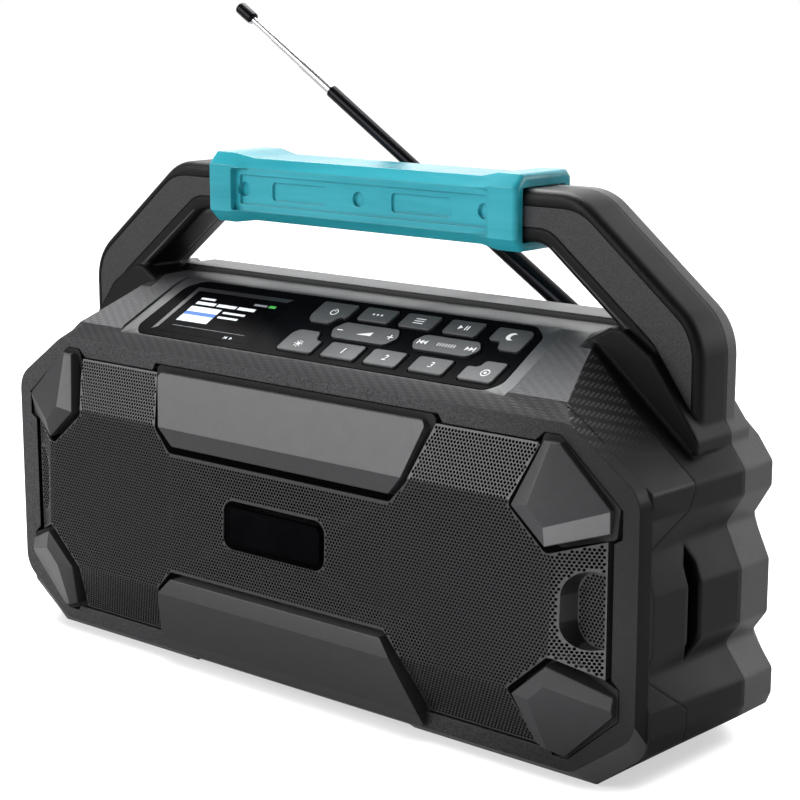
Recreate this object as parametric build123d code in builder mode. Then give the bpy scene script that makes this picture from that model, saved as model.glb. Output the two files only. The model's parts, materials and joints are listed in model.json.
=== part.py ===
"""Jobsite radio: clamshell body with a fixed carry handle, key console, perforated front,
rubber bumpers and a folding telescopic antenna.  All sizes in mm.

Axes: +X to the right seen from the front, -Y is the front, +Z up.  Z = 0 is the floor.
Depths are written as "d": the distance behind the front face, positive to the rear.
"""
import os
from math import cos, radians, sin, tan

from build123d import *

os.makedirs("parts", exist_ok=True)

# ------------------------------------------------------------------ driving dimensions
FACE_W = 340.0          # width of the front face
FACE_TOP = 135.5        # height of the front face's top edge
FACE_BOTTOM = 4.9       # height of its bottom edge
CASE_D = 100.0          # front face to rear wall
HANDLE_TOP = 212.0      # height of the carry bar
PANEL_W = 200.6         # key panel, across
PANEL_L = 41.2          # key panel, up the slope
SLOPE = 27.0            # slope of the key panel in degrees
GRIP_L = 169.0          # grip sleeve, along the bar
ANT_REACH = 261.0       # antenna pivot to tip, as stored
ANT_TILT = 32.4         # antenna above horizontal, as stored
KEY_TRAVEL = 0.8

# ------------------------------------------------------------------ clearances
SEAT = 0.3              # between pieces that only lie beside one another
RUN = 0.05              # radial running clearance of pivots and telescopes
KEY_GAP = 0.4           # around a key in its opening

# ------------------------------------------------------------------ derived
HW = FACE_W / 2
PROUD = 13.6            # lower bumper's ridge in front of the face
Y_FACE = PROUD - (PROUD + CASE_D) / 2
PARTING = 0.6 * CASE_D  # parting plane between the two main shells
BASE = 0.6              # underside of the skids; the rubber feet stand proud to Z = 0
BEVEL = 6.0             # depth of the bevel round the front face
PANEL_D = 5.9           # depth of the panel's lower edge
PANEL_Z = FACE_TOP + 6.1
RISE = tan(radians(SLOPE))
DECK_D = PANEL_D + PANEL_L * cos(radians(SLOPE))    # where the slope ends
DECK_Z = PANEL_Z + (DECK_D - PANEL_D) * RISE
REAR_Z = DECK_Z + 3.0                       # top of the rear shell
DECK_HALF = HW - 52.0                       # half width of the console between the legs
CAV_HALF = HW - 10.0                        # half width of the hollow inside
LEG_D0 = PARTING - 17.3                     # front plane of the handle
LEG_D1 = PARTING + 9.0                      # rear plane of the handle
BAR = 20.5                                  # height of the carry bar
LEG_X = HW - 4.0                            # outer side of the legs
SHOULDER = FACE_TOP + 30.1                  # where the leg turns inwards
REAR_STEP = PARTING + 0.5 * (CASE_D - PARTING)      # where the rear shell starts to taper
SHELF_Z = FACE_TOP - 4.5                    # floor of the antenna channel
REAR_IN = CASE_D - 5.0                      # inner face of the rear wall
BAFFLE_D = 8.0                              # front of the speaker baffle
SCREW_R = 1.6                               # housing screws in the mid shell
SCREW_IN = 16.0
HEAD_D = REAR_STEP + 2.0                    # seat of their heads


def fy(d):
    """World Y of a depth behind the front face."""
    return Y_FACE + d


def at_depth(d):
    """Plane facing the front at depth d; local x = X, local y = Z."""
    return Plane(origin=(0, fy(d), 0), x_dir=(1, 0, 0), z_dir=(0, -1, 0))


def along_x(x):
    """Plane facing +X; local x = depth, local y = Z."""
    return Plane(origin=(x, fy(0), 0), x_dir=(0, 1, 0), z_dir=(1, 0, 0))


def slope(h=0.0):
    """Key panel's plane, raised by h; local x = X, local y = up the slope."""
    a = radians(SLOPE)
    here = Plane(origin=(0, fy(PANEL_D), PANEL_Z), x_dir=(1, 0, 0), z_dir=(0, -sin(a), cos(a)))
    return here.offset(h)


def mirrored(pts):
    """Right-hand outline from bottom to top, closed over to the left."""
    return pts + [(-x, z) for x, z in reversed(pts)]


def save(builder, label):
    builder.part.label = label
    export_step(builder.part, f"parts/{label}.step")


def x_prism(pts, x0, x1, mode=Mode.ADD):
    """Extrude a (depth, Z) polygon from x0 to x1."""
    with BuildSketch(along_x(x0)) as sk:
        with BuildLine():
            Polyline(*pts, close=True)
        make_face()
    extrude(sk.sketch, amount=x1 - x0, mode=mode)


def d_prism(pts, d0, d1, mode=Mode.ADD, radius=0.0):
    """Extrude an (X, Z) polygon from depth d0 back to depth d1."""
    with BuildSketch(at_depth(d1)) as sk:
        with BuildLine():
            Polyline(*pts, close=True)
        make_face()
        if radius:
            fillet(sk.vertices(), radius)
    extrude(sk.sketch, amount=d1 - d0, mode=mode)


def box_at(x0, x1, d0, d1, z0, z1, mode=Mode.ADD):
    """Block between two corners."""
    with BuildSketch(at_depth(d1)) as sk:
        with Locations(((x0 + x1) / 2, (z0 + z1) / 2)):
            Rectangle(x1 - x0, z1 - z0)
    extrude(sk.sketch, amount=d1 - d0, mode=mode)


def rod(x, z, r, d0, d1, mode=Mode.ADD):
    """Cylinder along the depth."""
    with BuildSketch(at_depth(d1)) as sk:
        with Locations((x, z)):
            Circle(r)
    extrude(sk.sketch, amount=d1 - d0, mode=mode)


def hex_rod(x, z, r, d0, d1, mode=Mode.ADD):
    """Hexagonal bar along the depth, r to its corners."""
    with BuildSketch(at_depth(d1)) as sk:
        with Locations((x, z)):
            RegularPolygon(r, 6)
    extrude(sk.sketch, amount=d1 - d0, mode=mode)


# ------------------------------------------------------------------ body outlines
def outline_front():
    return mirrored(
        [(HW - 27.4, FACE_BOTTOM), (HW, FACE_BOTTOM + 19.9), (HW, FACE_TOP - 21.7), (HW - 30.6, FACE_TOP)]
    )


def outline_bevel():
    return mirrored(
        [(HW - 20, BASE), (HW + 1.5, 17.0), (HW + 1.5, FACE_TOP - 21.8), (HW - 37.4, PANEL_Z - 0.1)]
    )


def outline_wavy(grow):
    """Side with three bulges; grow 0 = just behind the bevel, 1 = at the parting plane."""
    t = FACE_TOP

    def mix(a, b):
        return a + (b - a) * grow

    return mirrored(
        [
            (HW - 20, BASE),
            (HW + mix(1.5, 6.0), mix(16.0, 18.0)),
            (HW + mix(2.5, 8.0), 23.0),
            (HW + mix(2.0, 8.0), 33.0),
            (HW - 1.3, 45.5),
            (HW + mix(1.2, 5.0), 54.5),
            (HW + mix(1.2, 5.0), t - 60.0),
            (HW - 2.5, t - 44.0),
            (HW + mix(1.5, 5.0), t - 31.5),
            (HW + mix(1.5, 5.0), t - 22.0),
            (HW + mix(-14.0, -1.5), t + mix(-11.0, -13.0)),
            (HW + mix(-61.0, -53.0), t + mix(25.5, 33.0)),
        ]
    )


def outline_rear():
    t = FACE_TOP
    return mirrored(
        [
            (HW - 32, 9.0),
            (HW - 13.5, 20.5),
            (HW - 12.0, 24.5),
            (HW - 12.0, 33.0),
            (HW - 14.2, 45.5),
            (HW - 14.0, 54.5),
            (HW - 14.0, t - 60.0),
            (HW - 14.4, t - 44.0),
            (HW - 12.6, t - 32.5),
            (HW - 12.6, t - 25.0),
            (HW - 19.0, t - 17.5),
            (HW - 66.0, t + 24.5),
        ]
    )


def taper(d0, pts0, d1, pts1, radius):
    """Ruled loft between two outlines with the same number of corners."""
    ends = []
    for d, pts in ((d0, pts0), (d1, pts1)):
        with BuildSketch(at_depth(d)) as sk:
            with BuildLine():
                Polyline(*pts, close=True)
            make_face()
            fillet(sk.vertices(), radius)
        ends.append(sk.sketch)
    loft(ends, ruled=True)


def cavity_pts(shrink=0.0):
    w = CAV_HALF - shrink
    return mirrored(
        [(w - 22, 8 + shrink / 2), (w, 23 + shrink / 2), (w, FACE_TOP - 22 - shrink),
         (w - 24, FACE_TOP - 10 - shrink / 3)]
    )


# region of the housing that belongs to the front frame
FRAME_EDGE = [
    (-2, -5), (26, -5), (26, 30), (7.5, 44), (7.5, FACE_TOP - 46.5), (26, FACE_TOP - 31.5),
    (30, FACE_TOP - 24), (30, FACE_TOP + 2.5), (38.5, FACE_TOP + 40), (-2, FACE_TOP + 40),
]
# opening of the face for the grille, with a recess round each bumper
OPENING = mirrored(
    [
        (HW - 37, 11.8), (HW - 36.0, 9.6), (HW - 29.5, 9.6), (HW - 7, 29.5), (HW - 7, 41.5), (HW - 10.5, 44.5),
        (HW - 10.5, FACE_TOP - 40.5), (HW - 7, FACE_TOP - 38.5), (HW - 7, FACE_TOP - 28),
        (HW - 34.5, FACE_TOP - 4.5), (HW - 42, FACE_TOP - 4.5), (HW - 46, FACE_TOP - 8),
        (HW - 89.5, FACE_TOP - 8), (HW - 91.5, FACE_TOP - 4.8),
    ]
)
LID = [(-20, PANEL_Z), (PANEL_D, PANEL_Z), (DECK_D, DECK_Z), (PARTING + 1, DECK_Z + 0.8),
       (PARTING + 1, 280), (-20, 280)]
SIDE_SLOT = [(28.0, 53), (32.0, 46), (35.8, 53), (35.8, 83), (31.5, 90), (28.0, 83)]
SCREWS = [(sx * (HW - 15), z) for sx in (-1, 1) for z in (37.0, FACE_TOP - 30)]


def case_core():
    """Outside of the case between the bevel and the parting plane, console slope cut."""
    taper(BEVEL, outline_wavy(0), PARTING, outline_wavy(1), 3.0)
    x_prism(LID, -HW - 20, HW + 20, Mode.SUBTRACT)
    box_at(-62, 62, -5, PARTING + 1, -3, 3.1, Mode.SUBTRACT)


def collar(d0, d1):
    """Raised foot of each leg on the sloping shoulder."""
    pts = [(HW - 52, DECK_Z - 2.5), (HW - 41, DECK_Z + 3.6), (HW - 35.5, DECK_Z + 3.2), (HW - 22.5, FACE_TOP + 19.5),
           (HW - 3.5, FACE_TOP - 5.5), (HW - 1.4, FACE_TOP - 9), (HW - 1.4, FACE_TOP - 14), (HW - 30, FACE_TOP - 14),
           (HW - 52, DECK_Z - 12)]
    for side in (1, -1):
        d_prism([(side * x, z) for x, z in pts], d0, d1)


# ------------------------------------------------------------------ handle outline
RING = [
    (-LEG_X, FACE_TOP - 16), (-LEG_X, SHOULDER), (-(HW - 61), HANDLE_TOP), (HW - 61, HANDLE_TOP),
    (LEG_X, SHOULDER), (LEG_X, FACE_TOP - 16), (HW - 30, FACE_TOP - 16), (HW - 38, DECK_Z + 0.5),
    (HW - 76.6, HANDLE_TOP - BAR), (-(HW - 76.6), HANDLE_TOP - BAR), (-(HW - 38), DECK_Z + 0.5),
    (-(HW - 30), FACE_TOP - 16),
]
with BuildSketch() as ring_sk:
    with BuildLine():
        Polyline(*RING, close=True)
    make_face()
    fillet([v for v in ring_sk.vertices() if v.Y > HANDLE_TOP - 1], 24)
    fillet([v for v in ring_sk.vertices() if abs(abs(v.X) - LEG_X) < 0.1 and abs(v.Y - SHOULDER) < 0.1], 24)
    fillet([v for v in ring_sk.vertices() if abs(v.Y - (HANDLE_TOP - BAR)) < 0.1], 12)

NECK_X = GRIP_L / 2 - 2.0       # the bar is necked down under the grip
NECK_Z0 = HANDLE_TOP - BAR + 4.0
NECK_Z1 = HANDLE_TOP - 3.5


def half_ring(d0, d1, front):
    """One half of the handle, rim rounded on its free side, bar necked under the grip."""
    with BuildSketch(at_depth(d1)) as sk:
        add(ring_sk.sketch)
    extrude(sk.sketch, amount=d1 - d0)
    free = fy(d0 if front else d1)
    rim = edges().filter_by_position(Axis.Y, free - 0.01, free + 0.01)
    fillet([e for e in rim if e.center().Z > FACE_TOP - 10], 3.4)
    for z0, z1 in ((HANDLE_TOP - BAR - 2, NECK_Z0), (NECK_Z1, HANDLE_TOP + 2)):
        box_at(-NECK_X, NECK_X, d0 - 1, d1 + 1, z0, z1, Mode.SUBTRACT)
    if front:
        box_at(-NECK_X, NECK_X, d0 - 1, d0 + 4, NECK_Z0 - 5, NECK_Z1 + 5, Mode.SUBTRACT)
    else:
        box_at(-NECK_X, NECK_X, d1 - 2, d1 + 1, NECK_Z0 - 5, NECK_Z1 + 5, Mode.SUBTRACT)


# inlay strip let into the front of the handle
INLAY = [
    (-(HW - 8), FACE_TOP + 0.5), (-(HW - 8), SHOULDER - 1.6), (-(HW - 59.2), HANDLE_TOP - 6.4),
    (HW - 59.2, HANDLE_TOP - 6.4), (HW - 8, SHOULDER - 1.6), (HW - 8, FACE_TOP + 0.5), (HW - 24, FACE_TOP + 23),
    (HW - 27, DECK_Z + 1.0), (HW - 73, HANDLE_TOP - 14.3), (-(HW - 73), HANDLE_TOP - 14.3),
    (-(HW - 27), DECK_Z + 1.0), (-(HW - 24), FACE_TOP + 23),
]


def inlay_sketch(grow):
    with BuildSketch() as sk:
        with BuildLine():
            Polyline(*INLAY, close=True)
        make_face()
        fillet([v for v in sk.vertices() if v.Y > HANDLE_TOP - 7], 21)
        fillet([v for v in sk.vertices() if abs(v.Y - (SHOULDER - 1.6)) < 0.1], 20)
        fillet([v for v in sk.vertices() if abs(v.Y - (HANDLE_TOP - 14.3)) < 0.1], 14)
        if grow:
            offset(amount=grow, kind=Kind.INTERSECTION)
    return sk


INLAY_T = 2.0
inlay_slot = inlay_sketch(0.25)
inlay_strip = inlay_sketch(0)

# ------------------------------------------------------------------ key panel layout, on the slope
PANEL_T = 2.6
PANEL_SET = 0.5         # panel surface below the slope
LEDGE = 1.2             # ledge of the console that the panel lies on
DISH = 0.7              # shallow dish of the slope round the panel
DECK_T = 9.0            # thickness of the console deck
PANEL_MID = PANEL_L / 2
LCD = (-62.3, 20.1, 59.2, 33.4)            # centre x, centre t, width, height of the lens
# name: outline in (X, t)
KEYS = {
    "key_power": [(-16, 27), (-13.5, 23.7), (-2.2, 23.7), (-0.2, 28.6), (3.4, 28.6), (3.4, 37.9), (-16, 37.9)],
    "key_mode": [(8.0, 28.9), (25.4, 28.9), (25.4, 37.9), (8.0, 37.9)],
    "key_menu": [(30.2, 28.7), (47.9, 28.7), (47.9, 37.8), (30.2, 37.8)],
    "key_scan": [(53.3, 28.5), (70.6, 28.5), (70.6, 37.6), (53.3, 37.6)],
    "key_sleep": [(77, 28.4), (83, 28.4), (85.2, 23.2), (95.6, 23.2), (95.6, 33.5), (93.2, 36.8), (77, 36.8)],
    "key_dimmer": [(-15.6, 3.4), (3.8, 3.4), (3.8, 12.2), (0.4, 12.2), (-1.8, 17.7), (-13, 17.7), (-15.6, 14.5)],
    "key_one": [(8.8, 3.2), (27.2, 3.2), (27.2, 13.0), (8.8, 13.0)],
    "key_two": [(31.8, 3.1), (48.9, 3.1), (48.9, 12.9), (31.8, 12.9)],
    "key_three": [(55.0, 3.1), (72.6, 3.1), (72.6, 12.8), (55.0, 12.8)],
    "key_select": [(79.6, 3.0), (96.4, 3.0), (96.4, 15.8), (86.0, 15.8), (84.8, 11.4), (79.6, 11.4)],
}
ROCKERS = {
    "rocker_volume": [(2.3, 20.8), (5.6, 26.0), (34.2, 26.0), (37.2, 20.8), (33.8, 15.4), (5.4, 15.4)],
    "rocker_tuning": [(45.2, 20.9), (48.4, 25.6), (75.6, 25.6), (78.8, 20.9), (75.4, 16.0), (48.2, 16.0)],
}
KEY_UP = 0.9            # key tops above the panel
KEY_CORNER = 1.0
FLANGE = KEY_GAP + 0.5   # flange that keeps a key under the panel, past its outline
FLANGE_TOP = -PANEL_SET - PANEL_T - 0.3
MEMBRANE_TOP = FLANGE_TOP - 1.0 - KEY_TRAVEL - 0.35


def key_outline(pts, grow=0.0):
    """Outline of a key or of its opening, its corners cut."""
    with BuildSketch() as sk:
        with BuildLine():
            Polyline(*pts, close=True)
        make_face()
        if grow:
            offset(amount=grow, kind=Kind.INTERSECTION)
        chamfer(sk.vertices(), KEY_CORNER)
    return sk.sketch


def slope_prism(outline, h0, h1, mode=Mode.ADD):
    """Extrude an (X, t) sketch of the slope from height h0 to h1 above it."""
    with BuildSketch(slope(h0)) as sk:
        add(outline)
    extrude(sk.sketch, amount=h1 - h0, mode=mode)


def panel_outline(grow=0.0, radius=6.5):
    """Rounded outline of the panel with its clipped upper corners."""
    w = PANEL_W / 2 + grow
    pts = mirrored([(w - 5, -grow), (w, 5 - grow / 2), (w - 1.5, PANEL_L - 6 + grow / 2), (w - 9, PANEL_L + grow)])
    with BuildSketch() as sk:
        with BuildLine():
            Polyline(*pts, close=True)
        make_face()
        fillet(sk.vertices(), radius)
    return sk.sketch


# ------------------------------------------------------------------ front frame
with BuildPart() as frame_zone:
    x_prism(FRAME_EDGE, -HW - 20, HW + 20)
    box_at(-DECK_HALF, DECK_HALF, -2, PARTING, FACE_TOP - 9, FACE_TOP + 60)

DECK_CAVITY = [(8, FACE_TOP - 16), (8, PANEL_Z - DECK_T - 1.1), (DECK_D, DECK_Z - DECK_T - 1.5),
               (PARTING + 1, DECK_Z - DECK_T - 1.5), (PARTING + 1, FACE_TOP - 16)]

with BuildPart() as front_frame:
    case_core()
    add(frame_zone.part, mode=Mode.INTERSECT)
    taper(0, outline_front(), BEVEL, outline_bevel(), 12.0)
    box_at(-62, 62, -1, BEVEL + 1, -3, 3.1, Mode.SUBTRACT)
    d_prism(cavity_pts(), BAFFLE_D, PARTING + 1, Mode.SUBTRACT)
    x_prism(DECK_CAVITY, -DECK_HALF + 6, DECK_HALF - 6, Mode.SUBTRACT)
    d_prism(OPENING, -5, 9, Mode.SUBTRACT)
    # shallow dished surround, then the pocket and the window under the panel
    with BuildSketch(slope(20)):
        add(panel_outline(7.0, 9.0))
    extrude(amount=-20 - DISH, mode=Mode.SUBTRACT)
    with BuildSketch(slope(20)):
        add(panel_outline(SEAT, 6.5))
    extrude(amount=-20 - PANEL_SET - PANEL_T, mode=Mode.SUBTRACT)
    with BuildSketch(slope(20)):
        add(panel_outline(-LEDGE, 5.0))
    extrude(amount=-20 - DECK_T - 6, mode=Mode.SUBTRACT)

# ------------------------------------------------------------------ mid shell with the handle's front half
with BuildPart() as handle_front:
    half_ring(LEG_D0, PARTING, True)

with BuildPart() as mid_shell:
    case_core()
    collar(PARTING - 22, PARTING)
    add(frame_zone.part, mode=Mode.SUBTRACT)
    add(handle_front.part)
    box_at(-DECK_HALF + 0.001, DECK_HALF - 0.001, 0, PARTING, FACE_TOP - 9, DECK_Z + 2, Mode.SUBTRACT)
    with BuildSketch(at_depth(LEG_D0 + INLAY_T)):
        add(inlay_slot.sketch)
    extrude(amount=INLAY_T + SEAT, mode=Mode.SUBTRACT)
    d_prism(cavity_pts(), 0, PARTING + 1, Mode.SUBTRACT)
    for side in (1, -1):
        x0 = min(side * (HW - 7.5), side * (HW + 10))
        x_prism(SIDE_SLOT, x0, x0 + 17.5, Mode.SUBTRACT)
    for x, z in SCREWS:
        rod(x, z, 5.5, PARTING - 18, PARTING)
        rod(x, z, SCREW_R + RUN, PARTING - SCREW_IN - 1, PARTING + 1, Mode.SUBTRACT)

# ------------------------------------------------------------------ rear shell
CHANNEL = [(REAR_STEP + 1, REAR_Z - 2), (REAR_STEP + 2.2, SHELF_Z), (CASE_D + 10, SHELF_Z),
           (CASE_D + 10, 280), (REAR_STEP - 2, 280), (REAR_STEP - 2, REAR_Z)]
BAY = (56.0, 14.0, 58.0)                    # battery bay: half width, floor, ceiling
PORT = (-98.0, 82.0, 44.0, 24.0)            # port recess: centre x, centre z, width, height
PORT_FLOOR = CASE_D - 9.0
ANT_X = HW - 65.0
ANT_D = REAR_STEP + 10.0
ANT_Z = SHELF_Z + 7.2
VENTS = [(x, FACE_TOP - 27) for x in range(-30, 31, 12)]

with BuildPart() as handle_rear:
    half_ring(PARTING, LEG_D1, False)

with BuildPart() as rear_shell:
    taper(REAR_STEP, outline_wavy(1), CASE_D, outline_rear(), 3.0)
    d_prism(outline_wavy(1), PARTING, REAR_STEP, radius=3.0)
    x_prism([(PARTING - 1, REAR_Z), (CASE_D + 5, REAR_Z), (CASE_D + 5, 280), (PARTING - 1, 280)],
            -HW - 20, HW + 20, Mode.SUBTRACT)
    x_prism(CHANNEL, -HW - 20, HW - 52, Mode.SUBTRACT)
    box_at(-62, 62, PARTING - 1, CASE_D + 1, -3, 3.1, Mode.SUBTRACT)
    collar(PARTING, LEG_D1 + 4)
    add(handle_rear.part)
    d_prism(cavity_pts(8.0), PARTING - 1, REAR_IN - 6, Mode.SUBTRACT)
    d_prism(cavity_pts(16.0), PARTING - 1, REAR_IN, Mode.SUBTRACT)
    box_at(-DECK_HALF + 8, DECK_HALF - 8, PARTING - 1, REAR_STEP - 4, FACE_TOP - 20, REAR_Z - 4, Mode.SUBTRACT)
    # posts for the main board, the battery bay and the boss behind the port recess
    for x in (-60, 60):
        for z in (FACE_TOP - 55, FACE_TOP - 20):
            rod(x, z, 4, PARTING + 12, REAR_IN + 0.5)
    box_at(-BAY[0] - 4, BAY[0] + 4, PARTING + 8, REAR_IN + 0.5, BAY[1] - 4, BAY[2] + 4)
    box_at(-BAY[0], BAY[0], PARTING + 10, CASE_D + 1, BAY[1], BAY[2], Mode.SUBTRACT)
    box_at(-BAY[0] - 3, BAY[0] + 3, CASE_D - 3, CASE_D + 1, BAY[1] - 3, BAY[2] + 3, Mode.SUBTRACT)
    for x in (-BAY[0] + 10, BAY[0] - 10):
        rod(x, BAY[2] + 4.5, 3.5, CASE_D - 9, CASE_D - 3)
        rod(x, BAY[2] + 0.5, 3.4, CASE_D - 12, CASE_D - 3)
        rod(x, BAY[2] - 0.5, 1.3, CASE_D - 12, CASE_D + 1, Mode.SUBTRACT)
    box_at(PORT[0] - PORT[2] / 2 - 3, PORT[0] + PORT[2] / 2 + 3, PORT_FLOOR - 3, REAR_IN + 0.5,
           PORT[1] - PORT[3] / 2 - 3, PORT[1] + PORT[3] / 2 + 3)
    with BuildSketch(at_depth(CASE_D + 1)):
        with Locations((PORT[0], PORT[1])):
            RectangleRounded(PORT[2], PORT[3], 1)
    extrude(amount=CASE_D + 1 - PORT_FLOOR, mode=Mode.SUBTRACT)
    # openings for the three sockets in the recess floor
    rod(PORT[0] - 13, PORT[1], 5.6, PORT_FLOOR - 4, PORT_FLOOR + 1, Mode.SUBTRACT)
    rod(PORT[0] + 1, PORT[1], 4.1, PORT_FLOOR - 4, PORT_FLOOR + 1, Mode.SUBTRACT)
    box_at(PORT[0] + 8.3, PORT[0] + 18.7, PORT_FLOOR - 4, PORT_FLOOR + 1, PORT[1] - 7.7, PORT[1] + 7.7, Mode.SUBTRACT)
    # antenna pivot seat, ventilation slots and the screw bores
    with BuildSketch(Plane.XY.offset(SHELF_Z)):
        with Locations((ANT_X, fy(ANT_D))):
            Circle(3.0 + RUN)
    extrude(amount=-8, mode=Mode.SUBTRACT)
    with BuildSketch(at_depth(CASE_D + 1)):
        with Locations(*[(x, z) for x, z in VENTS]):
            SlotOverall(22, 3.4, rotation=90)
    extrude(amount=8, mode=Mode.SUBTRACT)
    for x, z in SCREWS:
        rod(x, z, SCREW_R + 0.5, PARTING - 1, CASE_D, Mode.SUBTRACT)
        rod(x, z, 4.3, HEAD_D, CASE_D + 2, Mode.SUBTRACT)

# pockets for the rubber feet under the three housing parts
FEET = [(sx * (HW - 62), d) for sx in (-1, 1) for d in (15.0, PARTING + 18)]
with BuildPart() as rubber_feet:
    for x, d in FEET:
        with BuildSketch(Plane.XY) as sk:
            with Locations((x, fy(d))):
                RectangleRounded(52, 13, 5)
        extrude(amount=3.0)
with BuildPart() as feet_space:
    for x, d in FEET:
        with BuildSketch(Plane.XY) as sk:
            with Locations((x, fy(d))):
                RectangleRounded(52.4, 13.4, 5.2)
        extrude(amount=3.0)
for shell in (front_frame, rear_shell):
    shell.part = shell.part - feet_space.part

# ------------------------------------------------------------------ handle trim and grip sleeve
with BuildPart() as handle_trim:
    with BuildSketch(at_depth(LEG_D0 + INLAY_T)):
        add(inlay_strip.sketch)
    extrude(amount=INLAY_T)
    box_at(-NECK_X - SEAT, NECK_X + SEAT, 0, CASE_D, NECK_Z0 - 20, HANDLE_TOP + 5, Mode.SUBTRACT)
    # clear of the screw bosses and the collar's foot
    box_at(-HW, HW, 0, CASE_D, 0, FACE_TOP + 1, Mode.SUBTRACT)

GRIP_MID = (LEG_D0 - 2.2, LEG_D1 + 4, HANDLE_TOP - BAR - 2.7, HANDLE_TOP + 3.5)   # d0, d1, z0, z1
GRIP_COLLAR = (LEG_D0 - 4.5, LEG_D1 + 5, HANDLE_TOP - BAR - 4, HANDLE_TOP + 5.5)
COLLAR_L = 12.5                     # length of each collar
SWELL = 10.0                        # length of the swelling from bar to collar


def grip_section(size, chamfer):
    d0, d1, z0, z1 = size
    c, k = chamfer, chamfer / 2
    return [(d0, z0 + c), (d0, z1 - c), (d0 + c, z1), (d1 - k, z1), (d1, z1 - k), (d1, z0 + k), (d1 - k, z0),
            (d0 + c, z0)]


def grip_loft(x0, size0, x1, size1):
    ends = []
    for x, size in ((x0, size0), (x1, size1)):
        with BuildSketch(along_x(x)) as sk:
            with BuildLine():
                Polyline(*grip_section(size, 5.0), close=True)
            make_face()
        ends.append(sk.sketch)
    loft(ends, ruled=True)


with BuildPart() as grip_sleeve:
    x_in = GRIP_L / 2 - COLLAR_L
    x_prism(grip_section(GRIP_MID, 5.0), -x_in + SWELL, x_in - SWELL)
    for side in (1, -1):
        grip_loft(side * (x_in - SWELL), GRIP_MID, side * x_in, GRIP_COLLAR)
        grip_loft(side * x_in, GRIP_COLLAR, side * (GRIP_L / 2), GRIP_COLLAR)
    ends = faces().filter_by(Axis.X).group_by(Axis.X)
    fillet((ends[0] + ends[-1]).edges(), 2.4)
    # two shallow steps let into the front, three dimples and two long recesses
    mid_z = (GRIP_MID[2] + GRIP_MID[3]) / 2
    for half_x, half_z, depth in ((x_in - 1.5, 9.0, 0.8), (x_in - 4.5, 6.3, 1.8)):
        with BuildSketch(at_depth(GRIP_MID[0] + depth)) as sk:
            with Locations((0, mid_z)):
                RectangleRounded(2 * half_x, 2 * half_z, 1.0)
        extrude(sk.sketch, amount=10, mode=Mode.SUBTRACT)
    for x in (-65.7, 0.0, 65.7):
        rod(x, mid_z, 3.1, GRIP_MID[0] - 2, GRIP_MID[0] + 3.2, Mode.SUBTRACT)
    with BuildSketch(at_depth(GRIP_MID[0] + 2.7)) as sk:
        with Locations((-33.5, mid_z), (33.5, mid_z)):
            RectangleRounded(31, 7.7, 1.8)
    extrude(sk.sketch, amount=10, mode=Mode.SUBTRACT)
    # bore over the necked bar, wider at both ends where the bar is full
    box_at(-NECK_X, NECK_X, LEG_D0 + 4 - SEAT, LEG_D1 - 2 + SEAT, NECK_Z0 - SEAT, NECK_Z1 + SEAT, Mode.SUBTRACT)
    for side in (1, -1):
        x0 = min(side * (NECK_X - SEAT), side * (GRIP_L / 2 + 1))
        box_at(x0, x0 + GRIP_L / 2 + 1 - NECK_X + SEAT, LEG_D0 - SEAT, LEG_D1 + SEAT,
               HANDLE_TOP - BAR - SEAT, HANDLE_TOP + SEAT, Mode.SUBTRACT)

# ------------------------------------------------------------------ bumpers
SWELL_PAD = 2.4         # pad under a bumper, past its outline
# corner gem, upper right: outline corners and the two peaks, as (X, depth, Z)
T, B = FACE_TOP, FACE_BOTTOM
GEM_TOP = {
    "a": (HW - 39.9, -3.0, T - 6.9), "b": (HW - 33.0, -3.0, T - 6.9), "c": (HW - 10.5, -2.5, T - 28.0),
    "d": (HW - 11.5, -1.0, T - 37.0), "e": (HW - 33.2, -10.9, T - 43.5), "f": (HW - 48.5, -10.9, T - 30.5),
    "1": (HW - 32.5, -12.4, T - 35.9), "2": (HW - 40.2, -12.7, T - 28.9),
}
GEM_LOW = {
    "a": (HW - 40.5, -4.5, B + 9.9), "b": (HW - 29.0, -2.0, B + 6.6), "c": (HW - 8.4, -2.0, B + 26.6),
    "d": (HW - 8.2, -2.0, B + 34.2), "e": (HW - 30.8, -11.9, B + 43.4), "f": (HW - 46.5, -11.9, B + 29.6),
    "1": (HW - 31.0, -13.2, B + 36.3), "2": (HW - 38.0, -13.3, B + 29.4),
}


def gem_outline(gem, side):
    return [(side * gem[k][0], gem[k][2]) for k in "abcdef"]


def facet(*points):
    """Plane through three (X, depth, Z) points, its normal to the front."""
    p, q, r = (Vector(x, fy(d), z) for x, d, z in points)
    normal = (q - p).cross(r - p)
    if normal.Y > 0:
        normal = normal * -1
    return Plane(origin=p, z_dir=normal)


def gem_bumper(gem, side):
    """Outline standing on the face, cut down to four facets that meet in two peaks."""
    g = {k: (side * x, d, z) for k, (x, d, z) in gem.items()}
    d_prism(gem_outline(gem, side), -PROUD - 4, 0)
    for corners in ("bc2", "de1", "ef2", "af2"):
        plane = facet(*[g[k] for k in corners])
        split(bisect_by=plane, keep=Keep.BOTTOM)
    ridges = edges().filter_by(lambda e: e.center().Y < fy(-1.0) and abs(e.tangent_at(0.5).Y) < 0.95)
    fillet(ridges, 0.6)


UPPER = [(74.8, T - 7.7), (67.5, T - 29.6), (60.3, T - 37.4)]       # half outline, top to bottom
LOWER = [(59.1, B + 36.7), (65.5, B + 29.8), (73.0, B + 6.6), (73.0, B + 0.6)]
UPPER_SECTION = [(0, T - 7.7), (-2.3, T - 7.7), (-9.2, T - 29.6), (-8.2, T - 37.4), (0, T - 37.4)]
LOWER_SECTION = [(0, B + 36.7), (-11.9, B + 36.7), (-PROUD, B + 29.8), (-5.0, B + 6.6), (-0.9, B + 0.6), (0, B + 0.6)]


def bar_outline(half):
    return half + [(-x, z) for x, z in reversed(half)]


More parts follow.
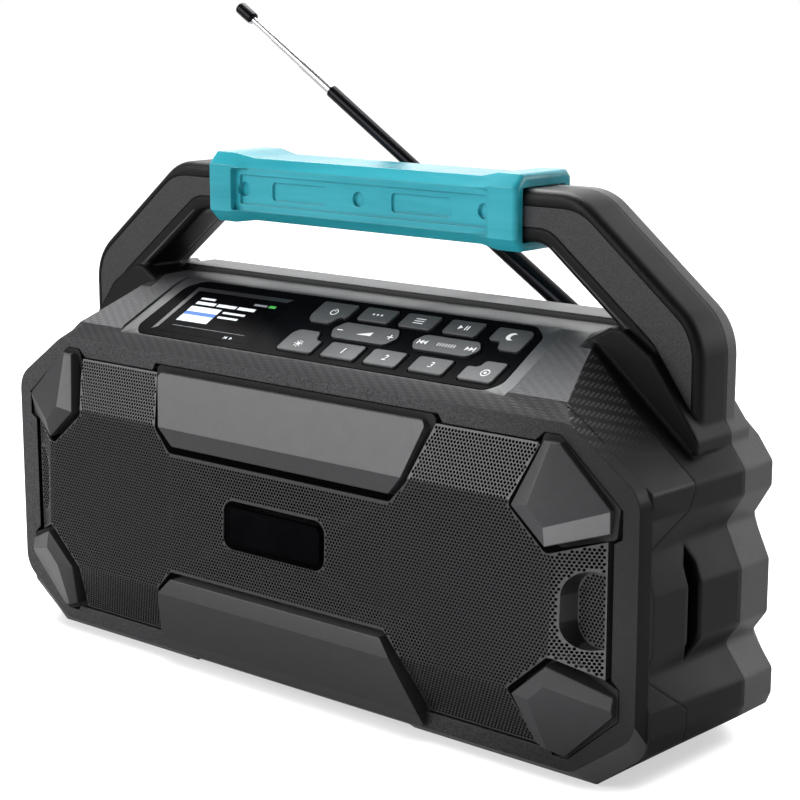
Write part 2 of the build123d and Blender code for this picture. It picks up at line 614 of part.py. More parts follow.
def bar_bumper(section, half):
    """Wedge of one section along X, its ends trimmed to the outline."""
    with BuildSketch(along_x(-HW)) as sk:
        with BuildLine():
            Polyline(*section, close=True)
        make_face()
        fillet([v for v in sk.vertices() if v.X < -0.5], 0.7)
    extrude(sk.sketch, amount=2 * HW)
    with BuildSketch(at_depth(0)) as sk:
        with BuildLine():
            Polyline(*bar_outline(half), close=True)
        make_face()
        fillet(sk.vertices(), 2.5)
    extrude(sk.sketch, amount=PROUD + 2, mode=Mode.INTERSECT)


with BuildPart() as bumper_upper:
    bar_bumper(UPPER_SECTION, UPPER)
with BuildPart() as bumper_lower:
    bar_bumper(LOWER_SECTION, LOWER)
with BuildPart() as bumper_top_right:
    gem_bumper(GEM_TOP, 1)
with BuildPart() as bumper_top_left:
    gem_bumper(GEM_TOP, -1)
with BuildPart() as bumper_bottom_right:
    gem_bumper(GEM_LOW, 1)
with BuildPart() as bumper_bottom_left:
    gem_bumper(GEM_LOW, -1)

BUMPER_OUTLINES = [gem_outline(gem, side) for gem in (GEM_TOP, GEM_LOW) for side in (1, -1)]
BUMPER_OUTLINES += [bar_outline(UPPER), bar_outline(LOWER)]


def bumper_pads(grow, d0, d1, mode=Mode.ADD):
    """Prisms over all six bumper outlines, grown sideways."""
    for pts in BUMPER_OUTLINES:
        with BuildSketch(at_depth(d1)) as sk:
            with BuildLine():
                Polyline(*pts, close=True)
            make_face()
            offset(amount=grow, kind=Kind.ARC)
        extrude(sk.sketch, amount=d1 - d0, mode=mode)


# ------------------------------------------------------------------ grille: a formed, perforated pan
PAN_D = -9.7            # its front plane at mid height
PAN_LEAN = 2.0          # the front plane leans back, degrees
PAN_MID = FACE_TOP / 2 + 3.2
SHEET = 0.8
PAN_RIM = mirrored([(HW - 40, B + 7.9), (HW - 13, B + 31), (HW - 13, T - 36.5), (HW - 44.6, T - 8.7)])
PAN_BEND = mirrored([(HW - 48, B + 31.1), (HW - 31, B + 44), (HW - 31, T - 44.5), (HW - 49, T - 29.5)])
BADGE = (51.8, 15.5, 3.0)           # width, height, corner radius
BADGE_Z = PAN_MID + 0.2
BADGE_GAP = 2.5


def pan_shape(inset):
    """Solid pan, every face moved in by the inset."""
    lean = radians(PAN_LEAN)
    front = Plane(origin=(0, fy(PAN_D + inset), PAN_MID), x_dir=(1, 0, 0), z_dir=(0, -cos(lean), sin(lean)))
    ends = []
    for plane, pts, drop in ((at_depth(inset), PAN_RIM, 0), (front, PAN_BEND, PAN_MID)):
        with BuildSketch(plane) as sk:
            with BuildLine():
                Polyline(*[(x, z - drop) for x, z in pts], close=True)
            make_face()
            if inset:
                offset(amount=-inset, kind=Kind.INTERSECTION)
        ends.append(sk.sketch)
    loft(ends, ruled=True)
    with BuildSketch(at_depth(BAFFLE_D)) as sk:
        with BuildLine():
            Polyline(*PAN_RIM, close=True)
        make_face()
        if inset:
            offset(amount=-inset, kind=Kind.INTERSECTION)
    extrude(sk.sketch, amount=BAFFLE_D - inset)


def pan_dishes(grow, floor_d):
    """D-shaped dishes pressed into the sloping sides."""
    z0, z1 = B + 50.5, B + 78.5
    for side in (1, -1):
        with BuildSketch(at_depth(floor_d)) as sk:
            with BuildLine():
                Polyline((side * (HW + 2), z0), (side * (HW - 25.5), z0), (side * (HW - 25.5), z1), (side * (HW + 2), z1),
                         close=True)
            make_face()
            fillet([v for v in sk.vertices() if abs(v.X) < HW], 9.0)
            if grow:
                offset(amount=grow, kind=Kind.ARC)
        extrude(sk.sketch, amount=14, taper=-17, mode=Mode.ADD)


with BuildPart() as dishes_front:
    pan_dishes(0, -0.2)
with BuildPart() as dishes_back:
    pan_dishes(SHEET, -0.2 + SHEET)
with BuildPart() as pan_inside:
    pan_shape(SHEET)
    add(dishes_back.part, mode=Mode.SUBTRACT)
with BuildPart() as grille:
    pan_shape(0)
    add(dishes_front.part, mode=Mode.SUBTRACT)
    add(pan_inside.part, mode=Mode.SUBTRACT)
    box_at(-HW, HW, BAFFLE_D - 1, BAFFLE_D + 1, 0, B, Mode.SUBTRACT)
    bumper_pads(SWELL_PAD + SEAT, -20, BAFFLE_D + 1, Mode.SUBTRACT)
    with BuildSketch(at_depth(0)) as sk:
        with Locations((0, BADGE_Z)):
            RectangleRounded(BADGE[0] + 2 * BADGE_GAP, BADGE[1] + 2 * BADGE_GAP, BADGE[2] + BADGE_GAP)
    extrude(sk.sketch, amount=20, mode=Mode.SUBTRACT)

with BuildPart() as badge_plate:
    with BuildSketch(at_depth(PAN_D + 1.9)) as sk:
        with Locations((0, BADGE_Z)):
            RectangleRounded(*BADGE)
    extrude(sk.sketch, amount=2.0)
    with BuildSketch(at_depth(PAN_D - 0.1)) as sk:
        with Locations((0, BADGE_Z)):
            RectangleRounded(*BADGE)
            RectangleRounded(BADGE[0] - 1.2, BADGE[1] - 1.2, BADGE[2] - 0.6, mode=Mode.SUBTRACT)
    extrude(sk.sketch, amount=0.3)

# ------------------------------------------------------------------ baffle, cloth and speakers
BAFFLE_T = 3.0
BAFFLE_BACK = BAFFLE_D + BAFFLE_T
SPEAKERS = [(sx * 95.0, 68.0) for sx in (-1, 1)]
CONE_R = 31.0
BASKET_R = 38.0
SPEAKER_SCREW_R = 34.6

with BuildPart() as opening_space:
    d_prism(OPENING, -0.01, BAFFLE_D)
    with BuildSketch(at_depth(BAFFLE_D)) as sk:
        with BuildLine():
            Polyline(*OPENING, close=True)
        make_face()
        offset(amount=-SEAT, kind=Kind.INTERSECTION)
    extrude(sk.sketch, amount=BAFFLE_D, mode=Mode.INTERSECT)

with BuildPart() as speaker_baffle:
    bumper_pads(SWELL_PAD, 0, BAFFLE_D)
    add(opening_space.part, mode=Mode.INTERSECT)
    box_at(-BADGE[0] / 2 + 4, BADGE[0] / 2 - 4, PAN_D + 1.9, BAFFLE_D, BADGE_Z - 5, BADGE_Z + 5)
    d_prism(cavity_pts(SEAT), BAFFLE_D, BAFFLE_BACK)
    for x, z in SPEAKERS:
        rod(x, z, CONE_R, BAFFLE_D - 1, BAFFLE_BACK + 1, Mode.SUBTRACT)
        for a in (45, 135, 225, 315):
            rod(x + SPEAKER_SCREW_R * cos(radians(a)), z + SPEAKER_SCREW_R * sin(radians(a)), 1.2 + RUN,
                BAFFLE_D + 0.6, BAFFLE_BACK + 1, Mode.SUBTRACT)

with BuildPart() as grille_cloth:
    with BuildSketch(at_depth(BAFFLE_D)) as sk:
        with BuildLine():
            Polyline(*PAN_RIM, close=True)
        make_face()
        offset(amount=-SHEET - SEAT, kind=Kind.INTERSECTION)
    extrude(sk.sketch, amount=0.6)
    bumper_pads(SWELL_PAD + 1.2, -1, BAFFLE_D + 1, Mode.SUBTRACT)
    box_at(-BADGE[0] / 2 + 3.5, BADGE[0] / 2 - 3.5, -1, BAFFLE_D + 1, BADGE_Z - 5.5, BADGE_Z + 5.5, Mode.SUBTRACT)


def turned(x, z, profile):
    """Revolve a (radius, depth) profile about the speaker's axis."""
    with BuildSketch(along_x(x)) as sk:
        with BuildLine():
            Polyline(*[(d, z + r) for r, d in profile], close=True)
        make_face()
    revolve(sk.sketch, axis=Axis((x, 0, z), (0, 1, 0)))


def speaker_basket(x, z):
    r0 = BAFFLE_BACK
    turned(x, z, [(CONE_R, r0), (BASKET_R, r0), (BASKET_R, r0 + 2), (CONE_R + 1.2, r0 + 2), (23.2, r0 + 17),
                  (22, r0 + 20), (13, r0 + 20), (13, r0 + 18), (21, r0 + 18), (CONE_R, r0 + 2)])
    for a in (45, 135, 225, 315):
        rod(x + SPEAKER_SCREW_R * cos(radians(a)), z + SPEAKER_SCREW_R * sin(radians(a)), 1.2 + RUN,
            r0 - 1, r0 + 9, Mode.SUBTRACT)


def speaker_cone(x, z):
    r0 = BAFFLE_BACK + 0.3
    turned(x, z, [(0, r0 + 7.5), (9, r0 + 12), (26, r0 + 3.5), (28.5, r0 - 0.5), (30.6, r0), (30.6, r0 + 1.2),
                  (27, r0 + 4.8), (9, r0 + 13.5), (0, r0 + 13.5)])


def speaker_magnet(x, z):
    r0 = BAFFLE_BACK + 20
    turned(x, z, [(0, r0), (22, r0), (22, r0 + 3), (26, r0 + 3), (26, r0 + 12), (23, r0 + 12), (22, r0 + 15), (0, r0 + 15)])


speaker_parts = {}
for name, (x, z) in zip(("left", "right"), SPEAKERS):
    with BuildPart() as basket:
        speaker_basket(x, z)
    with BuildPart() as cone:
        speaker_cone(x, z)
    with BuildPart() as magnet:
        speaker_magnet(x, z)
    speaker_parts[f"speaker_basket_{name}"] = basket
    speaker_parts[f"speaker_cone_{name}"] = cone
    speaker_parts[f"speaker_magnet_{name}"] = magnet

with BuildPart() as speaker_screws:
    for x, z in SPEAKERS:
        for a in (45, 135, 225, 315):
            sx, sz = x + SPEAKER_SCREW_R * cos(radians(a)), z + SPEAKER_SCREW_R * sin(radians(a))
            rod(sx, sz, 1.2, BAFFLE_D + 1.2, BAFFLE_BACK + 2)
            hex_rod(sx, sz, 2.2, BAFFLE_BACK + 2, BAFFLE_BACK + 3.6)

# ------------------------------------------------------------------ key panel, display and boards
LENS_T = 1.2
PANEL_TOP = -PANEL_SET
PANEL_UNDER = PANEL_TOP - PANEL_T
MAT_T = 1.0
BOARD_T = 1.6
BOARD_TOP = MEMBRANE_TOP - MAT_T
STANDOFFS = [(x, t) for x in (-PANEL_W / 2 + 6.4, -24.8) for t in (6.5, PANEL_L - 9.0)] + [(91.5, 19.5)]


def slope_rect(cx, ct, w, h, radius):
    with BuildSketch() as sk:
        with Locations((cx, ct)):
            RectangleRounded(w, h, radius)
    return sk.sketch


def slope_rod(x, t, r, h0, h1, mode=Mode.ADD):
    with BuildSketch(slope(h0)) as sk:
        with Locations((x, t)):
            Circle(r)
    extrude(sk.sketch, amount=h1 - h0, mode=mode)


with BuildPart() as control_panel:
    slope_prism(panel_outline(), PANEL_UNDER, PANEL_TOP)
    slope_prism(slope_rect(*LCD, 2.2), PANEL_TOP - LENS_T, PANEL_TOP + 1, Mode.SUBTRACT)
    slope_prism(slope_rect(LCD[0], LCD[1], LCD[2] - 7, LCD[3] - 5, 1.0), PANEL_UNDER - 1, PANEL_TOP, Mode.SUBTRACT)
    for pts in list(KEYS.values()) + list(ROCKERS.values()):
        slope_prism(key_outline(pts, KEY_GAP), PANEL_UNDER - 1, PANEL_TOP + 1, Mode.SUBTRACT)
    for x, t in STANDOFFS:
        slope_rod(x, t, 1.6, BOARD_TOP, PANEL_UNDER)

with BuildPart() as display_lens:
    slope_prism(slope_rect(LCD[0], LCD[1], LCD[2] - 0.3, LCD[3] - 0.3, 2.0), PANEL_TOP - LENS_T, PANEL_TOP)

with BuildPart() as lcd_module:
    slope_prism(slope_rect(LCD[0], LCD[1], LCD[2] + 1, LCD[3] - 1.8, 1.0), BOARD_TOP, PANEL_UNDER - SEAT)
    for x, t in STANDOFFS:
        slope_rod(x, t, 1.6 + SEAT, BOARD_TOP - 1, PANEL_UNDER, Mode.SUBTRACT)

with BuildPart() as keypad_mat:
    mat_x0, mat_x1 = -19.0, PANEL_W / 2 - 3.4
    with BuildSketch() as mat:
        add(slope_rect((mat_x0 + mat_x1) / 2, PANEL_MID, mat_x1 - mat_x0, PANEL_L - 4.0, 2.0))
        add(panel_outline(-LEDGE - SEAT, 4.7), mode=Mode.INTERSECT)
    slope_prism(mat.sketch, BOARD_TOP, MEMBRANE_TOP)
    for x, t in STANDOFFS:
        slope_rod(x, t, 1.6 + SEAT, BOARD_TOP - 1, PANEL_UNDER, Mode.SUBTRACT)

with BuildPart() as control_board:
    slope_prism(panel_outline(-LEDGE - SEAT, 4.7), BOARD_TOP - BOARD_T, BOARD_TOP)


def push_key(pts):
    """Key cap with the flange that keeps it under the panel."""
    slope_prism(key_outline(pts), FLANGE_TOP - 1.0, PANEL_TOP + KEY_UP)
    top = faces().sort_by(Axis(slope().origin, slope().z_dir))[-1]
    chamfer(top.edges(), 0.35)
    with BuildSketch() as flange:
        add(key_outline(pts, FLANGE))
        add(panel_outline(-LEDGE - SEAT, 4.7), mode=Mode.INTERSECT)
    slope_prism(flange.sketch, FLANGE_TOP - 1.0, FLANGE_TOP)


def rocker_key(pts):
    """Rocker that tilts on a round rib across its middle, held by two short tabs."""
    xs = [x for x, t in pts]
    ts = [t for x, t in pts]
    cx, ct = (min(xs) + max(xs)) / 2, (min(ts) + max(ts)) / 2
    slope_prism(key_outline(pts), ROCKER_UNDER, PANEL_TOP + KEY_UP)
    slope_prism(slope_rect(cx, ct, 6.0, max(ts) - min(ts) + 2 * FLANGE, 0.5), ROCKER_UNDER, FLANGE_TOP - SEAT)
    foot = slope(ROCKER_AXIS).from_local_coords((cx, min(ts) + 0.5, 0))
    with BuildSketch(Plane(origin=foot, x_dir=(1, 0, 0), z_dir=slope().y_dir)) as sk:
        Circle(ROCKER_AXIS - MEMBRANE_TOP - SEAT)
    extrude(sk.sketch, amount=max(ts) - min(ts) - 1)


ROCKER_UNDER = FLANGE_TOP - 0.9
ROCKER_AXIS = ROCKER_UNDER - 0.1
keys = {}
for name, pts in KEYS.items():
    with BuildPart() as key:
        push_key(pts)
    keys[name] = key
for name, pts in ROCKERS.items():
    with BuildPart() as key:
        rocker_key(pts)
    keys[name] = key

with BuildPart() as main_board:
    box_at(-67, 67, PARTING + 12 - BOARD_T, PARTING + 12, T - 60, T - 14.5)

# ------------------------------------------------------------------ battery and its door
DOOR_T = 3.0 - SEAT
with BuildPart() as battery_pack:
    box_at(-BAY[0] + SEAT, BAY[0] - SEAT, PARTING + 10 + SEAT, CASE_D - 3 - SEAT, BAY[1], BAY[2] - 3.6)
    fillet(edges().filter_by(Axis.Y), 3.0)
with BuildPart() as battery_door:
    with BuildSketch(at_depth(CASE_D - SEAT)) as sk:
        with Locations((0, (BAY[1] + BAY[2]) / 2)):
            RectangleRounded(2 * BAY[0] + 6 - 2 * SEAT, BAY[2] - BAY[1] + 6 - 2 * SEAT, 1.5)
    extrude(sk.sketch, amount=DOOR_T)
    for z in range(22, 48, 6):
        box_at(-34, 34, CASE_D - SEAT - 0.8, CASE_D, z, z + 2.4, Mode.SUBTRACT)
    for x in (-BAY[0] + 10, BAY[0] - 10):
        rod(x, BAY[2] - 0.5, 1.3 + RUN, CASE_D - 5, CASE_D, Mode.SUBTRACT)
        rod(x, BAY[2] - 0.5, 2.9, CASE_D - 1.8, CASE_D, Mode.SUBTRACT)
with BuildPart() as door_screws:
    for x in (-BAY[0] + 10, BAY[0] - 10):
        rod(x, BAY[2] - 0.5, 1.3 - RUN, CASE_D - 11, CASE_D - 1.8)
        rod(x, BAY[2] - 0.5, 2.6, CASE_D - 1.8, CASE_D - 0.5)
with BuildPart() as housing_screws:
    for x, z in SCREWS:
        rod(x, z, SCREW_R, PARTING - SCREW_IN, HEAD_D)
        rod(x, z, 3.9, HEAD_D, HEAD_D + 3)
        hex_rod(x, z, 1.7, HEAD_D + 1.2, HEAD_D + 3, Mode.SUBTRACT)

# ------------------------------------------------------------------ sockets and their flap
SOCKET_BACK = PORT_FLOOR - 3.0
with BuildPart() as dc_jack:
    rod(PORT[0] - 13, PORT[1], 5.3, PORT_FLOOR - 12, PORT_FLOOR)
    rod(PORT[0] - 13, PORT[1], 7.5, PORT_FLOOR - 12, SOCKET_BACK)
    rod(PORT[0] - 13, PORT[1], 3.2, PORT_FLOOR - 10, PORT_FLOOR + 1, Mode.SUBTRACT)
    rod(PORT[0] - 13, PORT[1], 1.0, PORT_FLOOR - 11, PORT_FLOOR - 1)
with BuildPart() as aux_jack:
    rod(PORT[0] + 1, PORT[1], 3.8, PORT_FLOOR - 12, PORT_FLOOR)
    rod(PORT[0] + 1, PORT[1], 5.6, PORT_FLOOR - 12, SOCKET_BACK)
    rod(PORT[0] + 1, PORT[1], 1.75, PORT_FLOOR - 11, PORT_FLOOR + 1, Mode.SUBTRACT)
with BuildPart() as usb_port:
    box_at(PORT[0] + 8.6, PORT[0] + 18.4, PORT_FLOOR - 9, PORT_FLOOR, PORT[1] - 7.4, PORT[1] + 7.4)
    with BuildSketch(at_depth(PORT_FLOOR)) as sk:
        with Locations((PORT[0] + 13.5, PORT[1])):
            SlotOverall(9.0, 3.2, rotation=90)
            SlotOverall(7.0, 0.8, rotation=90, mode=Mode.SUBTRACT)
    extrude(sk.sketch, amount=-7, mode=Mode.SUBTRACT)
    box_at(PORT[0] + 8.0, PORT[0] + 19.0, PORT_FLOOR - 9, SOCKET_BACK, PORT[1] - 8.6, PORT[1] + 8.6)

FLAP_PIN = (CASE_D - 1.6, PORT[1] - PORT[3] / 2 + 2.0)      # depth and height of the flap's hinge
with BuildPart() as port_flap:
    w, h = PORT[2] / 2 - 0.4, PORT[3] / 2 - 0.4
    box_at(PORT[0] - w, PORT[0] + w, CASE_D - 2.9, CASE_D - 0.5, FLAP_PIN[1], PORT[1] + h)
    fillet(edges().filter_by(Axis.Y).filter_by_position(Axis.Z, PORT[1], PORT[1] + 20), 2.6)
    x_prism([(CASE_D - 5.5, PORT[1] + h - 1.5), (CASE_D - 2.9, PORT[1] + h - 1.5), (CASE_D - 2.9, PORT[1] + h - 4),
             (CASE_D - 5.5, PORT[1] + h - 3)], PORT[0] - 12, PORT[0] + 12)
    for x0, x1, r in ((PORT[0] - w, PORT[0] + w, 1.5), (PORT[0] - PORT[2] / 2 - 2, PORT[0] + PORT[2] / 2 + 2, 0.9)):
        with BuildSketch(along_x(x0)) as sk:
            with Locations(FLAP_PIN):
                Circle(r)
        extrude(sk.sketch, amount=x1 - x0)
with BuildPart() as flap_bore:
    with BuildSketch(along_x(PORT[0] - PORT[2] / 2 - 2.3)) as sk:
        with Locations(FLAP_PIN):
            Circle(0.9 + RUN)
    extrude(sk.sketch, amount=PORT[2] + 4.6)
rear_shell.part = rear_shell.part - flap_bore.part

# ------------------------------------------------------------------ antenna
PIVOT = (ANT_X, fy(ANT_D), ANT_Z)
SLEEVE_R, SLEEVE_END = 3.9, 0.42 * ANT_REACH
TUBE_R, TUBE_END, TUBE_L = 2.8, 0.743 * ANT_REACH, 96.0
SECTION_R = (2.1, 1.75, 1.4)
SECTION_L = (90.0, 88.0, 80.0)
EXPOSED = (21.0, 21.0, 15.0)
TIP_L = ANT_REACH - TUBE_END - sum(EXPOSED)
BORE_END = 12.0
EAR_T, TANG_T, EAR_GAP = 2.0, 4.3, 0.1


def ant(s):
    """Plane across the antenna, s along it from the pivot; its normal points to the tip."""
    a = radians(ANT_TILT)
    return Plane(origin=PIVOT, x_dir=(0, 1, 0), z_dir=(-cos(a), 0, sin(a))).offset(s)


def ant_tube(r_out, s0, s1, r_in=0.0):
    with BuildSketch(ant(s0)) as sk:
        Circle(r_out)
        if r_in:
            Circle(r_in, mode=Mode.SUBTRACT)
    extrude(sk.sketch, amount=s1 - s0)


def across(y0, y1, r, mode=Mode.ADD):
    """Cylinder along Y through the pivot."""
    with BuildSketch(Plane(origin=(ANT_X, y0, ANT_Z), x_dir=(1, 0, 0), z_dir=(0, 1, 0))) as sk:
        Circle(r)
    extrude(sk.sketch, amount=y1 - y0, mode=mode)


yp = PIVOT[1]
ear_in = TANG_T / 2 + EAR_GAP
PIN_R = 1.2
with BuildPart() as antenna_base:
    with BuildSketch(Plane.XY.offset(SHELF_Z + SEAT)) as sk:
        with Locations((ANT_X, yp)):
            Circle(7.2)
    extrude(sk.sketch, amount=1.8)
    with BuildSketch(Plane.XY.offset(SHELF_Z - 7)) as sk:
        with Locations((ANT_X, yp)):
            Circle(3.0)
    extrude(sk.sketch, amount=8)
    for y0 in (yp - ear_in - EAR_T, yp + ear_in):
        across(y0, y0 + EAR_T, 3.6)
        with BuildSketch(Plane.XY.offset(SHELF_Z + SEAT + 1.5)) as sk:
            with Locations((ANT_X, y0 + EAR_T / 2)):
                Rectangle(7.2, EAR_T)
        extrude(sk.sketch, amount=ANT_Z - SHELF_Z - SEAT - 1.5)
    across(yp - 10, yp + 10, PIN_R, Mode.SUBTRACT)
with BuildPart() as antenna_pin:
    across(yp - ear_in - EAR_T, yp + ear_in + EAR_T, PIN_R)
with BuildPart() as antenna_sleeve:
    across(yp - TANG_T / 2, yp + TANG_T / 2, 3.4)
    with BuildSketch(ant(0)) as sk:
        Rectangle(TANG_T, 6.8)
    extrude(sk.sketch, amount=9.5)
    ant_tube(SLEEVE_R, 9.0, SLEEVE_END)
    fillet(edges().filter_by(GeomType.CIRCLE).filter_by(lambda e: abs(e.radius - SLEEVE_R) < 0.01)
           .sort_by(Axis.Z)[-1:], 0.8)
    with BuildSketch(ant(BORE_END)) as sk:
        Circle(TUBE_R + RUN)
    extrude(sk.sketch, amount=SLEEVE_END, mode=Mode.SUBTRACT)
    across(yp - 10, yp + 10, PIN_R + RUN, Mode.SUBTRACT)
with BuildPart() as antenna_tube:
    ant_tube(TUBE_R, TUBE_END - TUBE_L, TUBE_END, SECTION_R[0] + RUN)

chrome = {}
end = TUBE_END
for i, (r, length, out) in enumerate(zip(SECTION_R, SECTION_L, EXPOSED)):
    end = end + out
    with BuildPart() as section:
        ant_tube(r, end - length, end, SECTION_R[i + 1] + RUN if i < 2 else 0.0)
        if i == 2:
            ant_tube(TUBE_R, end, end + TIP_L)
            fillet(edges().filter_by(GeomType.CIRCLE).filter_by(lambda e: abs(e.radius - TUBE_R) < 0.01), 0.8)
    chrome[f"antenna_section_{i + 1}"] = section

# ------------------------------------------------------------------ export
pieces = {
    "front_frame": front_frame, "mid_shell": mid_shell, "rear_shell": rear_shell, "handle_trim": handle_trim,
    "grip_sleeve": grip_sleeve, "grille": grille, "grille_cloth": grille_cloth, "badge_plate": badge_plate,
    "speaker_baffle": speaker_baffle, "speaker_screws": speaker_screws, "bumper_upper": bumper_upper,
    "bumper_lower": bumper_lower, "bumper_top_left": bumper_top_left, "bumper_top_right": bumper_top_right,
    "bumper_bottom_left": bumper_bottom_left, "bumper_bottom_right": bumper_bottom_right,
    "control_panel": control_panel, "display_lens": display_lens, "lcd_module": lcd_module,
    "keypad_mat": keypad_mat, "control_board": control_board, "main_board": main_board,
    "battery_pack": battery_pack, "battery_door": battery_door, "door_screws": door_screws,
    "housing_screws": housing_screws, "dc_jack": dc_jack, "aux_jack": aux_jack, "usb_port": usb_port,
    "port_flap": port_flap, "antenna_base": antenna_base, "antenna_pin": antenna_pin,
    "antenna_sleeve": antenna_sleeve, "antenna_tube": antenna_tube, "rubber_feet": rubber_feet,
    **speaker_parts, **keys, **chrome,
}
for name, piece in pieces.items():
    save(piece, name)
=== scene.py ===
"""Jobsite radio: finishes, perforated grille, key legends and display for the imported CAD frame.

Everything is in metres in the frame's own axes: +X right, -Y the front, +Z up.  MM turns the
millimetres that the sizes are written in to metres.
"""
import json
import math

import bpy
import numpy as np
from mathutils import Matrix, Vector, geometry


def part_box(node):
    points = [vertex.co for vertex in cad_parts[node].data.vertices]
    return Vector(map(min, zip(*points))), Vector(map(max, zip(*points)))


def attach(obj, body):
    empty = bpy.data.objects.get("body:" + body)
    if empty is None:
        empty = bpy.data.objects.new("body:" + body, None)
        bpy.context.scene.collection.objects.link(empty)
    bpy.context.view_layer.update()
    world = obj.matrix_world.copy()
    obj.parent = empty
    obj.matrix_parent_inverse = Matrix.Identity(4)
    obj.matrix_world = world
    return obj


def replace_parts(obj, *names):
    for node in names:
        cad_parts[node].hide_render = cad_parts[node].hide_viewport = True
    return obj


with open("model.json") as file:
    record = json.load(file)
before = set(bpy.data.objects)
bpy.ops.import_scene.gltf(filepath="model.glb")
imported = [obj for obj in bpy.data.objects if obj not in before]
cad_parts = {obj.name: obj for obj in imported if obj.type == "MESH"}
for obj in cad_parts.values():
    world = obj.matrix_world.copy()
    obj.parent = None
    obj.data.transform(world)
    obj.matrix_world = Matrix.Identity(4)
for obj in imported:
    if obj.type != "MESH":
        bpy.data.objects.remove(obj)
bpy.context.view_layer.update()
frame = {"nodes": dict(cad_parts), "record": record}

MM = 0.001
FACE_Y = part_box("bumper_upper")[1].y        # the front face, against which the bumpers stand
CASE_TOP = 135.5 * MM                       # top edge of the front face
PARTING_Y = FACE_Y + 60 * MM                # joint between the middle and the rear housing
SLOPE = math.radians(27)                    # slope of the key panel
PANEL_FOOT = np.array([0, FACE_Y + 5.9 * MM, CASE_TOP + 6.1 * MM])      # middle of its lower edge
ACROSS = np.array([1.0, 0, 0])              # directions along the slope, up it, and square to it
UPHILL = np.array([0, math.cos(SLOPE), math.sin(SLOPE)])
LIFT = np.array([0, -math.sin(SLOPE), math.cos(SLOPE)])
PANEL_TOP = -0.5                            # panel's face against the slope, mm
KEY_TOP = 0.4                               # key tops against the slope, mm
INK = 0.04                                  # thickness of the printed legends, mm


# ------------------------------------------------------------------ colours and nodes
def paint(hex_code):
    """An sRGB hex colour as linear RGBA."""
    parts = [int(hex_code[i:i + 2], 16) / 255 for i in (1, 3, 5)]
    return [c / 12.92 if c <= 0.04045 else ((c + 0.055) / 1.055) ** 2.4 for c in parts] + [1.0]


def add(mat, kind, sockets=(), out=0, **settings):
    """Adds a shader node with its settings, its sockets set or linked, and gives back an output."""
    tree = mat.node_tree
    node = tree.nodes.new("ShaderNode" + kind)
    for name, value in settings.items():
        setattr(node, name, value)
    pairs = sockets.items() if isinstance(sockets, dict) else enumerate(sockets)
    for key, value in pairs:
        if isinstance(value, bpy.types.NodeSocket):
            tree.links.new(value, node.inputs[key])
        elif value is not None:
            node.inputs[key].default_value = value
    return node.outputs[out]


def surface(name, colour, rough, **constants):
    """A material with one Principled shader; the constants go straight to the shader's own sockets."""
    mat = bpy.data.materials.new(name)
    mat.use_nodes = True
    shader = mat.node_tree.nodes["Principled BSDF"]
    shader.inputs["Base Color"].default_value = paint(colour)
    shader.inputs["Roughness"].default_value = rough
    for key, value in constants.items():
        shader.inputs[key.replace("_", " ")].default_value = value
    return mat


def drive(mat, socket, output):
    """Links an output to one of the sockets of the material's shader."""
    mat.node_tree.links.new(output, mat.node_tree.nodes["Principled BSDF"].inputs[socket])


def grain(mat, size, detail=2.0, stretch=(1, 1, 1)):
    """Noise in object space whose grains are about `size` mm across, 0 to 1."""
    coords = add(mat, "Mapping", {"Vector": add(mat, "TexCoord", out=3), "Scale": stretch})
    return add(mat, "TexNoise", {"Vector": coords, "Scale": 1 / (size * MM), "Detail": detail,
                                 "Roughness": 0.6})


def shade_between(mat, factor, dark, light, low=0.3, high=0.7):
    """Base colour that runs from dark to light as the factor goes from low to high."""
    spread = add(mat, "MapRange", {"Value": factor, "From Min": low, "From Max": high})
    drive(mat, "Base Color", add(mat, "Mix", {"Factor": spread, 6: paint(dark), 7: paint(light)},
                                 out=2, data_type="RGBA"))


def cover(mat, share, hex_code):
    """Covers the base colour with another one, by a share between 0 and 1."""
    under = mat.node_tree.nodes["Principled BSDF"].inputs["Base Color"].links[0].from_socket
    drive(mat, "Base Color", add(mat, "Mix", {"Factor": share, 6: under, 7: paint(hex_code)},
                                 out=2, data_type="RGBA"))


def relief(mat, height, depth, soften):
    """Bump `depth` mm deep; soften rounds the piece's edges by that radius in mm."""
    edge = add(mat, "Bevel", {"Radius": soften * MM}, samples=4)
    drive(mat, "Normal", add(mat, "Bump", {"Height": height, "Distance": depth * MM, "Normal": edge}))


def patchy_roughness(mat, rough, spread, size=30):
    """Roughness that wanders by the spread over patches of about `size` mm, as handled plastic has."""
    cloud = grain(mat, size, detail=3.0)
    drive(mat, "Roughness", add(mat, "MapRange", {"Value": cloud, "From Min": 0.3, "From Max": 0.7,
                                                  "To Min": rough - spread, "To Max": rough + spread}))


# ------------------------------------------------------------------ finishes
def eroded_abs(name, dark, light, rough, grain_mm, depth, soften=0.6, ior=1.5):
    """Spark-eroded ABS: an even grain that breaks the light into fine sparkles."""
    mat = surface(name, light, rough, IOR=ior)
    speck = grain(mat, grain_mm)
    shade_between(mat, speck, dark, light, 0.34, 0.66)
    patchy_roughness(mat, rough, 0.05)
    relief(mat, speck, depth, soften)
    return mat


TWILL_WHOLE = 140 * MM          # the twill is whole up to this far from the middle
TWILL_GONE = 163 * MM           # and has died out here, into a painted shade
TOWS_OVER = 1.5                 # whole sums 0 and 1 lie below it, 2 and 3 above


